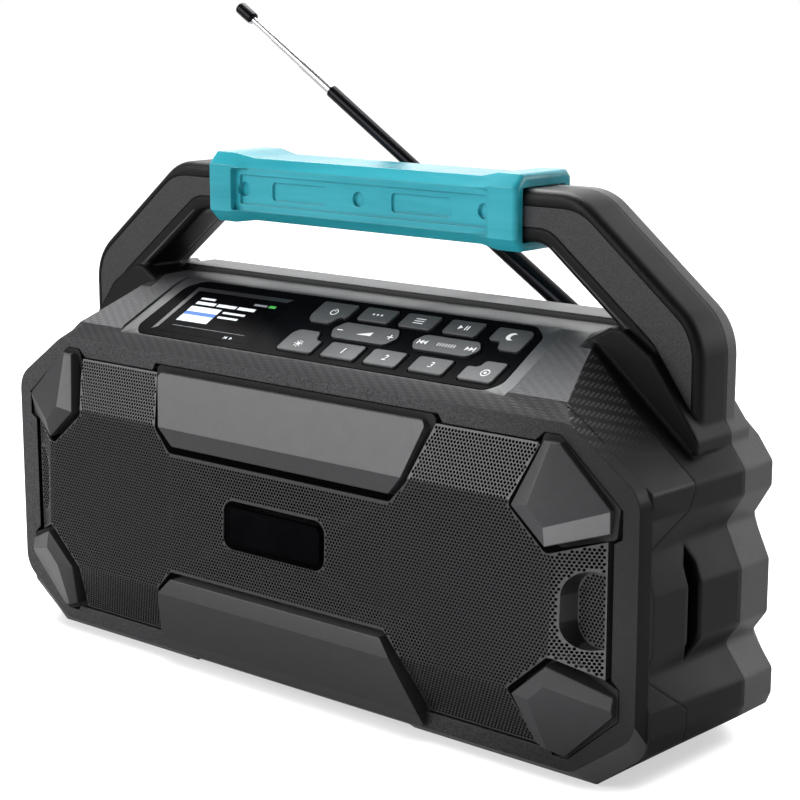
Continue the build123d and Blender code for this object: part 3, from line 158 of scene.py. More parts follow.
def twill_abs(name, dark, light, rough, weft, warp, depth, shaded_ends="#101011"):
    """Moulded carbon-fibre texture: 2/2 twill, each tow over two and under two.

    The dot products of the place with weft and warp, in tows per mm, count the tows.  The tow along
    weft is on top where the sum of the two whole parts, taken round four, is below two.  The texture
    dies out at the ends, and there the colour turns to shaded_ends, a painted shade.
    """
    mat = surface(name, light, rough, IOR=1.35)
    place = add(mat, "TexCoord", out=3)
    across, uphill = [add(mat, "VectorMath", (place, tuple(w / MM for w in tows)), out=1,
                          operation="DOT_PRODUCT") for tows in (weft, warp)]
    count = add(mat, "Math", (add(mat, "Math", (across,), operation="FLOOR"),
                              add(mat, "Math", (uphill,), operation="FLOOR")), operation="ADD")
    on_top = add(mat, "Math", (add(mat, "Math", (count, 4.0), operation="FLOORED_MODULO"), TOWS_OVER),
                 operation="LESS_THAN")
    crown = add(mat, "Math", (add(mat, "Math", (uphill, math.pi), operation="MULTIPLY"),),
                operation="SINE")
    crown = add(mat, "Math", (add(mat, "Math", (crown,), operation="ABSOLUTE"), 1.5), operation="POWER")
    woven = add(mat, "Mix", {"Factor": on_top, 2: 0.15, 3: crown}, data_type="FLOAT")
    reach = add(mat, "Math", (add(mat, "SeparateXYZ", (place,)),), operation="ABSOLUTE")
    fade = add(mat, "MapRange", {"Value": reach, "From Min": TWILL_WHOLE, "From Max": TWILL_GONE},
               interpolation_type="SMOOTHSTEP")
    height = add(mat, "Mix", {"Factor": fade, 2: woven, 3: 0.0}, data_type="FLOAT")
    shade_between(mat, height, dark, light, 0.0, 1.0)
    # painted shade: where the texture dies out, the colour darkens to shaded_ends
    cover(mat, fade, shaded_ends)
    relief(mat, height, depth, 0.8)
    return mat


def moulded_rubber(name, colour, light, rough):
    """Moulded rubber with a satin skin, a little paler where it is rubbed."""
    mat = surface(name, colour, rough, Specular_IOR_Level=0.4)
    cloud = grain(mat, 5, detail=4.0)
    shade_between(mat, cloud, colour, light, 0.35, 0.75)
    patchy_roughness(mat, rough, 0.02, 4)
    relief(mat, grain(mat, 0.5), 0.02, 0.4)
    return mat


def elastomer_grip():
    """Injected elastomer over the carry bar: wet-looking teal with a faint flow streak along it."""
    mat = surface("moulded_elastomer_teal", "#2fa3b3", 0.2)
    streak = grain(mat, 9, detail=3.0, stretch=(0.12, 1, 1))
    shade_between(mat, streak, "#279dad", "#37afbf", 0.3, 0.7)
    patchy_roughness(mat, 0.2, 0.04, 12)
    relief(mat, grain(mat, 0.7), 0.02, 0.7)
    return mat


def coated_steel(name, dark, light):
    """Perforated steel under a thin satin powder coat, with its slight orange peel."""
    mat = surface(name, light, 0.36)
    shade_between(mat, grain(mat, 0.8), dark, light, 0.3, 0.7)
    relief(mat, grain(mat, 0.3), 0.015, 0.1)
    return mat


def speaker_cloth():
    """Black acoustic scrim behind the grille: so dull that the holes read as dark."""
    mat = surface("acoustic_scrim", "#050505", 0.95, Specular_IOR_Level=0.1)
    weave = add(mat, "TexVoronoi", {"Vector": add(mat, "TexCoord", out=3), "Scale": 1 / (0.5 * MM)})
    shade_between(mat, weave, "#030303", "#080808", 0.0, 0.6)
    return mat


def gloss_acrylic(name, colour):
    """Cast acrylic, deep black, with the faint wander of a handled surface."""
    mat = surface(name, colour, 0.22, IOR=1.04)
    patchy_roughness(mat, 0.22, 0.04, 18)
    shade_between(mat, grain(mat, 16, detail=4.0), colour, "#0e0e11", 0.4, 0.8)
    return mat


def drawn_metal(name, colour, light, rough):
    """Plated or bare metal with fine draw marks, which smear its highlights."""
    mat = surface(name, colour, rough, Metallic=1.0)
    marks = grain(mat, 0.4, detail=1.0, stretch=(1, 1, 6))
    shade_between(mat, marks, colour, light, 0.55, 1.0)
    drive(mat, "Roughness", add(mat, "MapRange", {"Value": marks, "To Min": rough - 0.04,
                                                  "To Max": rough + 0.1}))
    return mat


def printed_ink(name, thin, colour, glow):
    """Pad-printed ink, thinner in places, or a lit part of the display."""
    mat = surface(name, colour, 0.5, Emission_Color=paint(colour), Emission_Strength=glow)
    shade_between(mat, grain(mat, 0.6), thin, colour)
    return mat


def plain_polymer(name, dark, light, rough, grain_mm=1.2):
    """Small moulded or wound pieces inside the case, dull and faintly mottled."""
    mat = surface(name, light, rough)
    speck = grain(mat, grain_mm, detail=3.0)
    shade_between(mat, speck, dark, light)
    relief(mat, speck, 0.02, 0.2)
    return mat


# the finish of each material slot of the CAD nodes
FINISH = {
    "case_dark": eroded_abs("spark_eroded_abs_bezel", "#202022", "#505052", 0.42, 0.5, 0.16, 0.6, 1.36),
    "case_mid": eroded_abs("satin_abs_middle", "#070708", "#0c0c0d", 0.42, 1.2, 0.02, 2.4, 1.28),
    "case_rear": eroded_abs("fine_grain_abs_rear", "#434345", "#515153", 0.5, 0.6, 0.03, 2.4),
    "trim_grained": eroded_abs("coarse_grain_abs_inlay", "#161618", "#303033", 0.5, 0.7, 0.1, 0.3),
    "grip_rubber": elastomer_grip(),
    "grille_steel": coated_steel("powder_coated_steel", "#28282a", "#363638"),
    "cloth": speaker_cloth(),
    "gloss_black": gloss_acrylic("gloss_black_acrylic", "#08080a"),
    "bumper_rubber": moulded_rubber("satin_rubber_bumper", "#353537", "#39393b", 0.42),
    "inner_black": plain_polymer("black_baffle_board", "#0b0b0c", "#151516", 0.8),
    "speaker_steel": drawn_metal("pressed_steel_basket", "#5a5a5c", "#8a8a8c", 0.4),
    "speaker_paper": plain_polymer("pulp_cone", "#131314", "#1f1f20", 0.85, 0.6),
    "screw_steel": drawn_metal("zinc_plated_steel", "#9a9a9c", "#c8c8ca", 0.3),
    "display_glass": gloss_acrylic("tinted_display_window", "#050507"),
    "electronics": plain_polymer("solder_mask_laminate", "#0f3b26", "#17482f", 0.45, 2.0),
    "keypad_rubber": moulded_rubber("silicone_key_mat", "#262628", "#303032", 0.6),
    "key_grey": eroded_abs("satin_keycap", "#303032", "#3a3a3c", 0.48, 0.5, 0.01, 0.25),
    "battery_wrap": plain_polymer("shrink_wrap_sleeve", "#1d3a63", "#26497a", 0.35, 6.0),
    "door_plastic": eroded_abs("fine_grain_abs_door", "#3d3d3f", "#4a4a4c", 0.5, 0.7, 0.03, 0.6),
    "socket_black": plain_polymer("nylon_socket", "#0e0e0f", "#19191a", 0.5),
    "flap_rubber": moulded_rubber("soft_rubber_flap", "#2b2b2d", "#363638", 0.6),
    "feet_rubber": moulded_rubber("rubber_feet_pad", "#161617", "#222223", 0.7),
    "antenna_black": drawn_metal("black_chromed_brass", "#1c1c1f", "#2c2c30", 0.26),
    "antenna_chrome": drawn_metal("chrome_plated_brass", "#cacacc", "#e6e6e8", 0.26),
}

JOINT_GAP = 0.7 * MM            # half width of the open joint between the two housings
for slot_name in ("case_mid", "case_rear"):
    joint = FINISH[slot_name]
    depth = add(joint, "SeparateXYZ", (add(joint, "TexCoord", out=3),)).node.outputs[1]
    cover(joint, add(joint, "Math", (depth, PARTING_Y, JOINT_GAP), operation="COMPARE"), "#060606")

RIGHT_SHADE_SPAN = {"From Min": 60 * MM, "From Max": 168 * MM}    # painted shade: the bezel's colour darkens towards its right end
front = FINISH["case_dark"]
rightward = add(front, "SeparateXYZ", (add(front, "TexCoord", out=3),))
cover(front, add(front, "MapRange", {"Value": rightward, **RIGHT_SHADE_SPAN}), "#0c0c0d")

DECK_TOWS = (0.6, 0.03, 0), (0.1, 0.8, 0.64)            # weft and warp, tows per mm along x, y and z
SIDE_TOWS = (0.1, 0.6, 0.1), (0, -0.3, 1.1)
LOW_TOWS = (0, 0.6, 0.1), (0.8, 0, 0.5)
DECK_TWILL = twill_abs("carbon_twill_abs_deck", "#39393b", "#535356", 0.46, *DECK_TOWS, 0.07)
RIM_TWILL = twill_abs("carbon_twill_abs_rim", "#262628", "#3a3a3c", 0.46, *DECK_TOWS, 0.03)
# painted shade: the shoulders' twill has a much darker base colour than the deck's
SHADED_SHOULDER_TWILL = twill_abs("carbon_twill_abs_shoulder_painted_shade", "#0d0d0e", "#4a4a4d", 0.42, *SIDE_TOWS, 0.12)
# painted light: the twill on the bottom bevels is paler than the deck's, though they face down
LIT_FOOT_TWILL = twill_abs("carbon_twill_abs_foot_painted_light", "#525254", "#5e5e61", 0.42, *LOW_TOWS, 0.03, "#4c4c4e")
DISH_SATIN = eroded_abs("satin_abs_dish", "#363638", "#3e3e40", 0.4, 0.8, 0.02)
# painted shade: the satin on the frame's sides is nearly black
SHADED_SIDE_SATIN = eroded_abs("satin_abs_side_painted_shade", "#080809", "#0c0c0d", 0.4, 0.8, 0.02, 0.6, 1.28)

slot_of = {part["node"]: part["material_slot"] for part in frame["record"]["subparts"]}
for node_name, node in frame["nodes"].items():
    for holder in node.material_slots:
        holder.material = FINISH[slot_of[node_name]]


# ------------------------------------------------------------------ meshes
def mesh_piece(name, points, faces, finish, body="root"):
    """A new piece from an array of points and rows of point numbers, riding on a body."""
    mesh = bpy.data.meshes.new(name)
    mesh.from_pydata(np.asarray(points).tolist(), [], [list(map(int, f)) for f in faces])
    mesh.materials.append(finish)
    piece = bpy.data.objects.new(name, mesh)
    bpy.context.scene.collection.objects.link(piece)
    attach(piece, body)
    return piece


def triangles_of(node):
    """A node's points, welded to a hundredth of a micron, and its triangles, as arrays."""
    mesh = frame["nodes"][node].data
    points = np.zeros(len(mesh.vertices) * 3)
    mesh.vertices.foreach_get("co", points)
    corners = np.zeros(len(mesh.loops), int)
    mesh.loops.foreach_get("vertex_index", corners)
    welded, number = np.unique(np.round(points.reshape(-1, 3), 8), axis=0, return_inverse=True)
    faces = number.ravel()[corners].reshape(-1, 3)
    apart = (faces != np.roll(faces, 1, axis=1)).all(axis=1)
    return welded, faces[apart]


def smooth_copy(node, name, slot, turn=28, body="root"):
    """The node's surface welded and shaded smooth except over edges that turn more than `turn` degrees."""
    points, faces = triangles_of(node)
    piece = mesh_piece(name, points, faces, FINISH[slot], body)
    piece.data.polygons.foreach_set("use_smooth", np.ones(len(faces), bool))
    piece.data.set_sharp_from_angle(angle=math.radians(turn))
    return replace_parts(piece, node)


def face_frames(piece):
    """Middles and normals of a piece's faces, as arrays."""
    count = len(piece.data.polygons)
    middle, normal = np.zeros(count * 3), np.zeros(count * 3)
    piece.data.polygons.foreach_get("center", middle)
    piece.data.polygons.foreach_get("normal", normal)
    return middle.reshape(-1, 3), normal.reshape(-1, 3)


def second_finish(piece, where, finish):
    """Gives the faces that a mask holds another finish than the rest of the piece."""
    piece.data.materials.append(finish)
    piece.data.polygons.foreach_set("material_index", where.astype(np.int32))


# front frame: grained bezel, twill on the slope and the shoulders, satin dish and sides; the sides and the
# shoulders' twill are darkened as painted shade, and the bottom bevels' twill is made paler as painted light
FACES_FRONT = -0.95             # normals with a smaller y face the front
DISH_HALF = 112 * MM            # half width of the dish round the key panel
DECK_HALF = 118 * MM            # half width of the plain deck above the dish
DECK_FROM = 30.5                # where that deck starts, up the slope, mm
DISH_FLOOR, DISH_EDGE = -6, -0.02       # range of heights of the dish against the slope, mm
RIM_END = -0.5                  # where the rim below the slope ends, up the slope, mm
BEVEL_TOP = 40 * MM             # the bottom bevels lie below this height
BEVEL_BACK = 8 * MM             # and within this of the front face
SIDE_FROM = 36 * MM             # all that lies farther behind the front face counts as side
FACES_SIDE = 0.92               # normals with a larger x, either way, face a side
SLANTED = 0.35                  # and those above this belong to a shoulder
FACES_DOWN = -0.1               # normals with a smaller z face down

bezel = smooth_copy("front_frame", "front_bezel_frame", "case_dark")
for finish in (DECK_TWILL, DISH_SATIN, SHADED_SIDE_SATIN, LIT_FOOT_TWILL, RIM_TWILL, SHADED_SHOULDER_TWILL):
    bezel.data.materials.append(finish)
GRAINED, DECK, DISH, SIDE, FOOT, RIM, SHOULDER = range(7)       # the finishes in the order of the slots
middle, normal = face_frames(bezel)
height = (middle - PANEL_FOOT) @ LIFT / MM
along = (middle - PANEL_FOOT) @ UPHILL / MM
off_centre = np.abs(middle[:, 0])
sideways = np.abs(normal[:, 0])
face = (normal[:, 1] < FACES_FRONT) & (middle[:, 1] < FACE_Y + 1 * MM)
dish = (off_centre < DISH_HALF) & (height < DISH_EDGE) & (height > DISH_FLOOR) & (along > RIM_END)
deck = (off_centre < DECK_HALF) & (along > DECK_FROM)
under = (normal[:, 2] < FACES_DOWN) & (middle[:, 2] < BEVEL_TOP) & (middle[:, 1] < FACE_Y + BEVEL_BACK)
side = (sideways > FACES_SIDE) | (middle[:, 1] > FACE_Y + SIDE_FROM)
rim = (along < RIM_END) & (sideways < SLANTED)
shoulder = sideways > SLANTED
kind = np.select([face, dish | deck, under, side, rim, shoulder],
                 [GRAINED, DISH, FOOT, SIDE, RIM, SHOULDER], DECK)
bezel.data.polygons.foreach_set("material_index", kind.astype(np.int32))

# painted light: the front-facing wall behind the key panel gets the paler dish satin instead of the
# near-black of the middle housing
WALL_HALF = 122 * MM            # its half width
WALL_FOOT, WALL_TOP = 150 * MM, 182 * MM
housing = smooth_copy("mid_shell", "middle_housing", "case_mid")
middle, normal = face_frames(housing)
second_finish(housing, (normal[:, 1] < FACES_FRONT) & (np.abs(middle[:, 0]) < WALL_HALF)
              & (middle[:, 2] > WALL_FOOT) & (middle[:, 2] < WALL_TOP), DISH_SATIN)

smooth_copy("rear_shell", "rear_housing", "case_rear")

# the antenna's end knob is black
KNOB_FROM = 271.6 * MM          # height at which the knob starts
tip = smooth_copy("antenna_section_3", "antenna_end", "antenna_chrome", body="antenna_section_3")
second_finish(tip, face_frames(tip)[0][:, 2] > KNOB_FROM, FINISH["antenna_black"])

# painted light: facets of the bumpers that catch the light get a paler rubber, each picked by the way it
# faces
LIT_FACET_RUBBER = moulded_rubber("bumper_rubber_painted_highlight", "#505052", "#555557", 0.4)
LIT_FACETS = {
    "bumper_upper": (0, -0.95, 0.3),
    "bumper_top_right": (0.46, -0.86, -0.21),
    "bumper_top_left": (0.27, -0.88, 0.39),
    "bumper_lower": (0, 0, 1),
    "bumper_bottom_left": (-0.31, -0.89, -0.32),
}
SAME_WAY = 0.992                # cosine of the angle within which two facets face the same way
for node_name, facing in LIT_FACETS.items():
    bumper = smooth_copy(node_name, node_name + "_cover", "bumper_rubber", 20)
    second_finish(bumper, face_frames(bumper)[1] @ np.array(facing) > SAME_WAY, LIT_FACET_RUBBER)

smooth_copy("grip_sleeve", "grip_cover", "grip_rubber")


# ------------------------------------------------------------------ perforated grille
HOLE_PITCH = 1.59 * MM           # between holes of a row
HOLE_ROW = 1.28 * MM             # between rows
HOLE_R = 0.64 * MM
HOLE_EDGE = 0.06 * MM            # sheet left between a hole and an unperforated wall
SHEET = 0.3 * MM                 # thickness
STEEP = -0.5                     # walls that face the front less than this stay whole
FORWARD = -0.25                  # normals of the pan's front have a smaller y
REARWARD = 0.2                   # and those of its back a larger one
RIGHTWARD = 0.5                  # normals of a dent's shaded cheek have a larger x
# darker copy of the grille's steel, a painted shade for the dents' cheeks
SHADED_STEEL = coated_steel("powder_coated_steel_painted_shade", "#0e0e0f", "#161617")


def inside(points, start, stop):
    """Even-odd test of points against closed 2-D segments: an odd number of them lies to the right."""
    x, y = points[:, :1], points[:, 1:]
    crossing = (start[:, 1] > y) != (stop[:, 1] > y)
    rise = np.where(stop[:, 1] == start[:, 1], 1.0, stop[:, 1] - start[:, 1])
    met = start[:, 0] + (y - start[:, 1]) * (stop[:, 0] - start[:, 0]) / rise
    return (crossing & (x < met)).sum(axis=1) % 2 == 1


def clearance(points, start, stop):
    """Distance of each point from the nearest segment.

    The foot on a segment is start + t (stop - start), with t kept within 0 and 1.
    """
    run = stop - start
    share = ((points[:, None] - start) * run).sum(axis=2) / (run * run).sum(axis=1)
    foot = start + np.clip(share, 0, 1)[..., None] * run
    return np.linalg.norm(points[:, None] - foot, axis=2).min(axis=1)


def lattice(low, high):
    """Centres of a staggered lattice over a rectangle: row j is shifted by half a pitch when j is odd."""
    j = np.arange(math.floor(low[1] / HOLE_ROW), math.ceil(high[1] / HOLE_ROW) + 1)
    i = np.arange(math.floor(low[0] / HOLE_PITCH) - 1, math.ceil(high[0] / HOLE_PITCH) + 1)
    jj, ii = np.meshgrid(j, i, indexing="ij")
    return np.column_stack([((ii + 0.5 * (jj % 2)) * HOLE_PITCH).ravel(), (jj * HOLE_ROW).ravel()])


def nearest_hole(points, centres):
    """Distance of each point from the nearest drilled centre, looked for in the three rows about it."""
    drilled = {tuple(c) for c in np.round(centres / MM, 2).tolist()}
    gap = np.full(len(points), np.inf)
    for step in (-1, 0, 1):
        j = np.round(points[:, 1] / HOLE_ROW) + step
        i = np.round(points[:, 0] / HOLE_PITCH - 0.5 * (j % 2))
        centre = np.column_stack([(i + 0.5 * (j % 2)) * HOLE_PITCH, j * HOLE_ROW])
        away = np.linalg.norm(points - centre, axis=1)
        real = np.array([tuple(c) in drilled for c in np.round(centre / MM, 2).tolist()])
        gap = np.where(real, np.minimum(gap, away), gap)
    return gap


def open_edges(faces):
    """Directed edges that only one triangle uses."""
    edges = np.vstack([faces[:, [0, 1]], faces[:, [1, 2]], faces[:, [2, 0]]])
    _, first, uses = np.unique(np.sort(edges, axis=1), axis=0, return_index=True, return_counts=True)
    return edges[first[uses == 1]]


def perforated_sheet(points, faces, normal):
    """The front of the pan, a height field y(x, z), drilled with six-sided holes and given its thickness.

    The pan's triangles and the holes' sides are the edges of a constrained triangulation in x and z.
    Each new point takes its y from the plane of the old triangle it lies in; the back is the front
    moved to the rear by the sheet's thickness, and every open edge gets a wall between the two.
    """
    flat = points[:, [0, 2]]
    rim = open_edges(faces[normal[:, 1] < STEEP])
    start, stop = flat[rim[:, 0]], flat[rim[:, 1]]
    centres = lattice(start.min(axis=0), start.max(axis=0))
    centres = centres[inside(centres, start, stop)]
    centres = centres[clearance(centres, start, stop) > HOLE_R + HOLE_EDGE]
    turn = np.arange(6) * math.pi / 3
    corner = HOLE_R * np.column_stack([np.cos(turn), np.sin(turn)])
    holes = (centres[:, None] + corner).reshape(-1, 2)
    ring = len(points) + np.arange(len(holes)).reshape(-1, 6)
    sides = np.column_stack([ring.ravel(), np.roll(ring, -1, axis=1).ravel()])
    places = [Vector(p) for p in np.vstack([flat, holes])]
    flat, _, made, _, _, sources = geometry.delaunay_2d_cdt(places, sides.tolist(), faces.tolist(), 0, 1e-9)
    known = [k for k, (cell, source) in enumerate(zip(made, sources)) if len(cell) == 3 and source]
    cells = np.array([made[k] for k in known])
    source = np.array([sources[k][0] for k in known])
    flat = np.array([tuple(p) for p in flat])
    # the triangles that fill a hole have their middles well inside it
    keep = nearest_hole(flat[cells].mean(axis=1), centres) > 0.8 * HOLE_R
    cells, source = cells[keep], source[keep]
    n = normal[source]
    base = points[faces[source, 0]]
    away = flat[cells] - base[:, None, [0, 2]]
    fall = away[..., 0] * n[:, None, 0] + away[..., 1] * n[:, None, 2]
    depth = np.zeros(len(flat))
    depth[cells] = base[:, None, 1] - fall / n[:, None, 1]
    front = np.column_stack([flat[:, 0], depth, flat[:, 1]])
    edge = open_edges(cells)
    count = len(front)
    walls = np.vstack([np.column_stack([edge[:, 1], edge[:, 0], edge[:, 0] + count]),
                       np.column_stack([edge[:, 1], edge[:, 0] + count, edge[:, 1] + count])])
    return np.vstack([front, front + (0, SHEET, 0)]), np.vstack([cells, cells[:, ::-1] + count, walls])


def perforated_grille():
    """The pressed pan in two halves: its front perforated, its rims and inner walls as they are."""
    points, faces = triangles_of("grille")
    a, b, c = (points[faces[:, k]] for k in range(3))
    cross = np.cross(b - a, c - a)
    normal = cross / np.linalg.norm(cross, axis=1)[:, None]
    front = normal[:, 1] < FORWARD
    sheet = perforated_sheet(points, faces[front], normal[front])
    rest = faces[~front & (normal[:, 1] < REARWARD)]
    points, faces = np.vstack([points, sheet[0]]), np.vstack([rest, sheet[1] + len(points)])
    points, number = np.unique(np.round(points, 7), axis=0, return_inverse=True)
    faces = number.ravel()[faces]
    faces = faces[(faces != np.roll(faces, 1, axis=1)).all(axis=1)]
    left = points[faces].mean(axis=1)[:, 0] < 0
    for name, side in (("perforated_grille_left", left), ("perforated_grille_right", ~left)):
        used, number = np.unique(faces[side], return_inverse=True)
        half = mesh_piece(name, points[used], number.reshape(-1, 3), FINISH["grille_steel"])
        normal = face_frames(half)[1]
        # painted shade: the right-facing cheeks get the darker steel; they are steep, and unlike the pan's
        # upright walls they also turn up or down
        cheek = (normal[:, 0] > RIGHTWARD) & (np.abs(normal[:, 1]) < 0.55) & (np.abs(normal[:, 2]) > 0.02)
        second_finish(half, cheek, SHADED_STEEL)
        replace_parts(half, "grille")


perforated_grille()


# ------------------------------------------------------------------ legends on the keys
def on_panel(flat, height):
    """Points (x, t) in mm on the slope, raised by a height in mm, as world points."""
    flat = np.asarray(flat, float)
    return PANEL_FOOT + (flat[:, :1] * ACROSS + flat[:, 1:] * UPHILL + height * LIFT) * MM


def bar(x0, y0, x1, y1):
    """Rectangle between two opposite corners."""
    return [(x0, y0), (x1, y0), (x1, y1), (x0, y1)]


def arc(r, width, start, stop, steps):
    """Quads of a ring's stretch: each lies between two radii at steps of the angle, in degrees."""
    turn = np.radians(np.linspace(start, stop, steps + 1))
    inner, outer = r - width / 2, r + width / 2
    rim = np.column_stack([np.cos(turn), np.sin(turn)])
    return [np.array([outer * rim[k], outer * rim[k + 1], inner * rim[k + 1], inner * rim[k]])
            for k in range(steps)]


def disc(r, cx=0.0):
    """Circle of eighteen sides: (cx + r cos a, r sin a)."""
    turn = np.radians(np.arange(0, 360, 20))
    return np.column_stack([cx + r * np.cos(turn), r * np.sin(turn)])


def arrow(x, size, way=1, y=0.0):
    """Triangle pointing right, or left where way is -1."""
    outline = [(x, y - size), (x + way * 1.5 * size, y), (x, y + size)]
    return outline if way > 0 else outline[::-1]


def moon(r):
    """Crescent: the outer half turn of one circle closed by a flatter arc of another."""
    outer = np.radians(np.linspace(50, 310, 21))
    inner = np.radians(np.linspace(270, 90, 15))
    return np.vstack([np.column_stack([r * np.cos(outer), r * np.sin(outer)]),
                      np.column_stack([0.64 * r + 0.8 * r * np.cos(inner), 0.76 * r * np.sin(inner)])])


def numeral(text):
    """Outline of a plain numeral, centred, as triangles (x, y) in mm."""
    curve = bpy.data.curves.new("numeral", "FONT")
    curve.body, curve.size, curve.shear = text, 4.2, 0.15
    curve.align_x, curve.align_y = "CENTER", "CENTER"
    holder = bpy.data.objects.new("numeral", curve)
    mesh = bpy.data.meshes.new_from_object(holder)
    mesh.calc_loop_triangles()
    shapes = [[tuple(mesh.vertices[k].co[:2]) for k in tri.vertices] for tri in mesh.loop_triangles]
    bpy.data.objects.remove(holder)
    bpy.data.curves.remove(curve)
    bpy.data.meshes.remove(mesh)
    return shapes


def printed(name, shapes, centre, level, finish, body="root"):
    """Flat shapes as thin prisms standing on the slope at a level in mm."""
    points, faces, count = [], [], 0
    for shape in shapes:
        outline = np.asarray(shape, float) + centre
        after = np.roll(outline, -1, axis=0)
        twice_area = (outline[:, 0] * after[:, 1] - outline[:, 1] * after[:, 0]).sum()
        if twice_area < 0:
            outline = outline[::-1]
        size = len(outline)
        points += [on_panel(outline, level + INK), on_panel(outline, level)]
        faces.append(list(range(count, count + size)))
        faces.append(list(range(count + 2 * size - 1, count + size - 1, -1)))
        faces += [[count + size + k, count + size + (k + 1) % size, count + (k + 1) % size, count + k]
                  for k in range(size)]
        count += 2 * size
    return mesh_piece(name, np.vstack(points), faces, finish, body)


# painted light: the printed white ink is given a faint glow of its own
WHITE_INK = printed_ink("pad_printed_white", "#d4d4d6", "#ececee", 0.3)
LEGEND_SCALE = 1.15             # the legends are drawn smaller than they are printed
RAYS = [np.array(bar(-0.16, 1.15, 0.16, 1.85))
        @ np.array([[math.cos(a), math.sin(a)], [-math.sin(a), math.cos(a)]])
        for a in np.radians(np.arange(0, 360, 45))]
TICKS = [bar(x - 0.16, -0.9, x + 0.16, 0.9 if x % 2.4 else 1.6) for x in np.arange(-3.6, 3.7, 1.2)]
# centre (x, t) on the slope in mm, and the shapes about it
LEGENDS = {
    "key_power": ((-5.6, 31.3), arc(1.5, 0.42, 120, 420, 20) + [bar(-0.21, 0.4, 0.21, 2.1)]),
    "key_mode": ((16.7, 33.4), [disc(0.5, x) for x in (-1.9, 0, 1.9)]),
    "key_menu": ((39.0, 33.2), [bar(-2.2, y - 0.2, 2.2, y + 0.2) for y in (-1.2, 0, 1.2)]),
    "key_scan": ((62.0, 33.0), [arrow(-2.2, 1.2), bar(0.6, -1.2, 1.1, 1.2), bar(1.7, -1.2, 2.2, 1.2)]),
    "key_sleep": ((86.6, 31.6), [moon(2.1)]),
    "key_dimmer": ((-6.6, 8.3), [disc(0.8)] + RAYS),
    "key_one": ((18.0, 8.1), numeral("1")),
    "key_two": ((40.4, 8.0), numeral("2")),
    "key_three": ((63.8, 8.0), numeral("3")),
    "key_select": ((90.2, 8.4), arc(1.6, 0.4, 0, 360, 24) + [disc(0.6)]),
    "rocker_volume": ((19.75, 20.7), [bar(-13.0, -0.22, -10.4, 0.22), bar(10.4, -0.22, 13.0, 0.22),
                                      bar(11.48, -1.3, 11.92, 1.3),
                                      [(-3.2, -1.1), (3.2, -1.1), (3.2, 1.1)]]),
    "rocker_tuning": ((62.0, 20.8), [arrow(-10.2, 1.15, -1), arrow(-8.4, 1.15, -1),
                                     bar(-12.5, -1.15, -12.0, 1.15), arrow(8.4, 1.15),
                                     arrow(10.2, 1.15), bar(12.0, -1.15, 12.5, 1.15)] + TICKS),
}
for key, (centre, shapes) in LEGENDS.items():
    grown = [np.asarray(shape) * LEGEND_SCALE for shape in shapes]
    printed(key + "_legend", grown, centre, KEY_TOP, WHITE_INK, key)

# ------------------------------------------------------------------ picture on the display
LIT = {"white": printed_ink("display_white", "#d3d8de", "#dfe3e8", 0.55),
       "blue": printed_ink("display_blue", "#3b6ebc", "#4379c9", 0.4),
       "green": printed_ink("display_green", "#3fa846", "#48b650", 0.4),
       "grey": printed_ink("display_grey", "#84878d", "#92959b", 0.3)}
PICTURE = {
    "small_line": ("white", [bar(-82.8, 28.2, -74.0, 29.5)]),
    "title_line": ("white", [bar(-82.9, 24.6, -71.2, 26.6), bar(-70.0, 24.6, -58.6, 26.6),
                             bar(-57.4, 24.6, -47.2, 26.6)]),
    "cover": ("white", [bar(-83.4, 12.2, -64.8, 16.9), bar(-83.4, 19.3, -64.8, 23.0)]),
    "cover_band": ("blue", [bar(-83.4, 16.9, -64.8, 19.3)]),
    "text_lines": ("white", [bar(-62.8, 20.7, -49.5, 22.0), bar(-62.8, 17.3, -51.0, 18.6)]),
    "clock": ("grey", [bar(-51.0, 29.0, -43.4, 30.2)]),
    "battery": ("green", [bar(-42.2, 28.8, -38.4, 30.4)]),
    "rule": ("grey", [bar(-82.4, 8.6, -38.4, 8.8)]),
    "skip_marks": ("white", [arrow(-46.2, 0.9, -1, 5.6), arrow(-44.4, 0.9, 1, 5.6),
                             bar(-47.9, 4.7, -47.6, 6.5)]),
}
for name, (colour, shapes) in PICTURE.items():
    printed("display_" + name, shapes, (0, 0), PANEL_TOP, LIT[colour])
# painted highlight: a paler grey strip along the left and top of the display, where the recess's bevel
# catches the light
BEVEL_HIGHLIGHT_GREY = eroded_abs("display_bevel_painted_highlight", "#18181a", "#262629", 0.35, 1.0, 0.01, 0.1)
printed("display_bevel_painted_highlight", [[(-91.4, 4.2), (-88.9, 6.0), (-88.9, 33.9), (-91.4, 36.3)],
                             [(-91.4, 36.3), (-88.9, 33.9), (-35.4, 33.9), (-33.2, 36.3)]],
        (0, 0), PANEL_TOP, BEVEL_HIGHLIGHT_GREY)

# ------------------------------------------------------------------ floor, lights and camera
BACKDROP = 1.0          # brightness of the backdrop as it is seen, white
AMBIENT = 0.22          # light that the studio's walls give
DARK_FRONT = 0.1        # brightness of the unlit front of the studio in reflections
BRIGHT_WALL = 1.3 * BACKDROP    # brightness of the rear wall in reflections


def ray_kinds(tree_owner):
    """Two masks: 1 on camera and transmission rays, and 1 on glossy rays."""
    rays = add(tree_owner, "LightPath").node
    straight = add(tree_owner, "Math", (rays.outputs["Is Camera Ray"], rays.outputs["Is Transmission Ray"]),
                   operation="MAXIMUM")
    return straight, rays.outputs["Is Glossy Ray"]


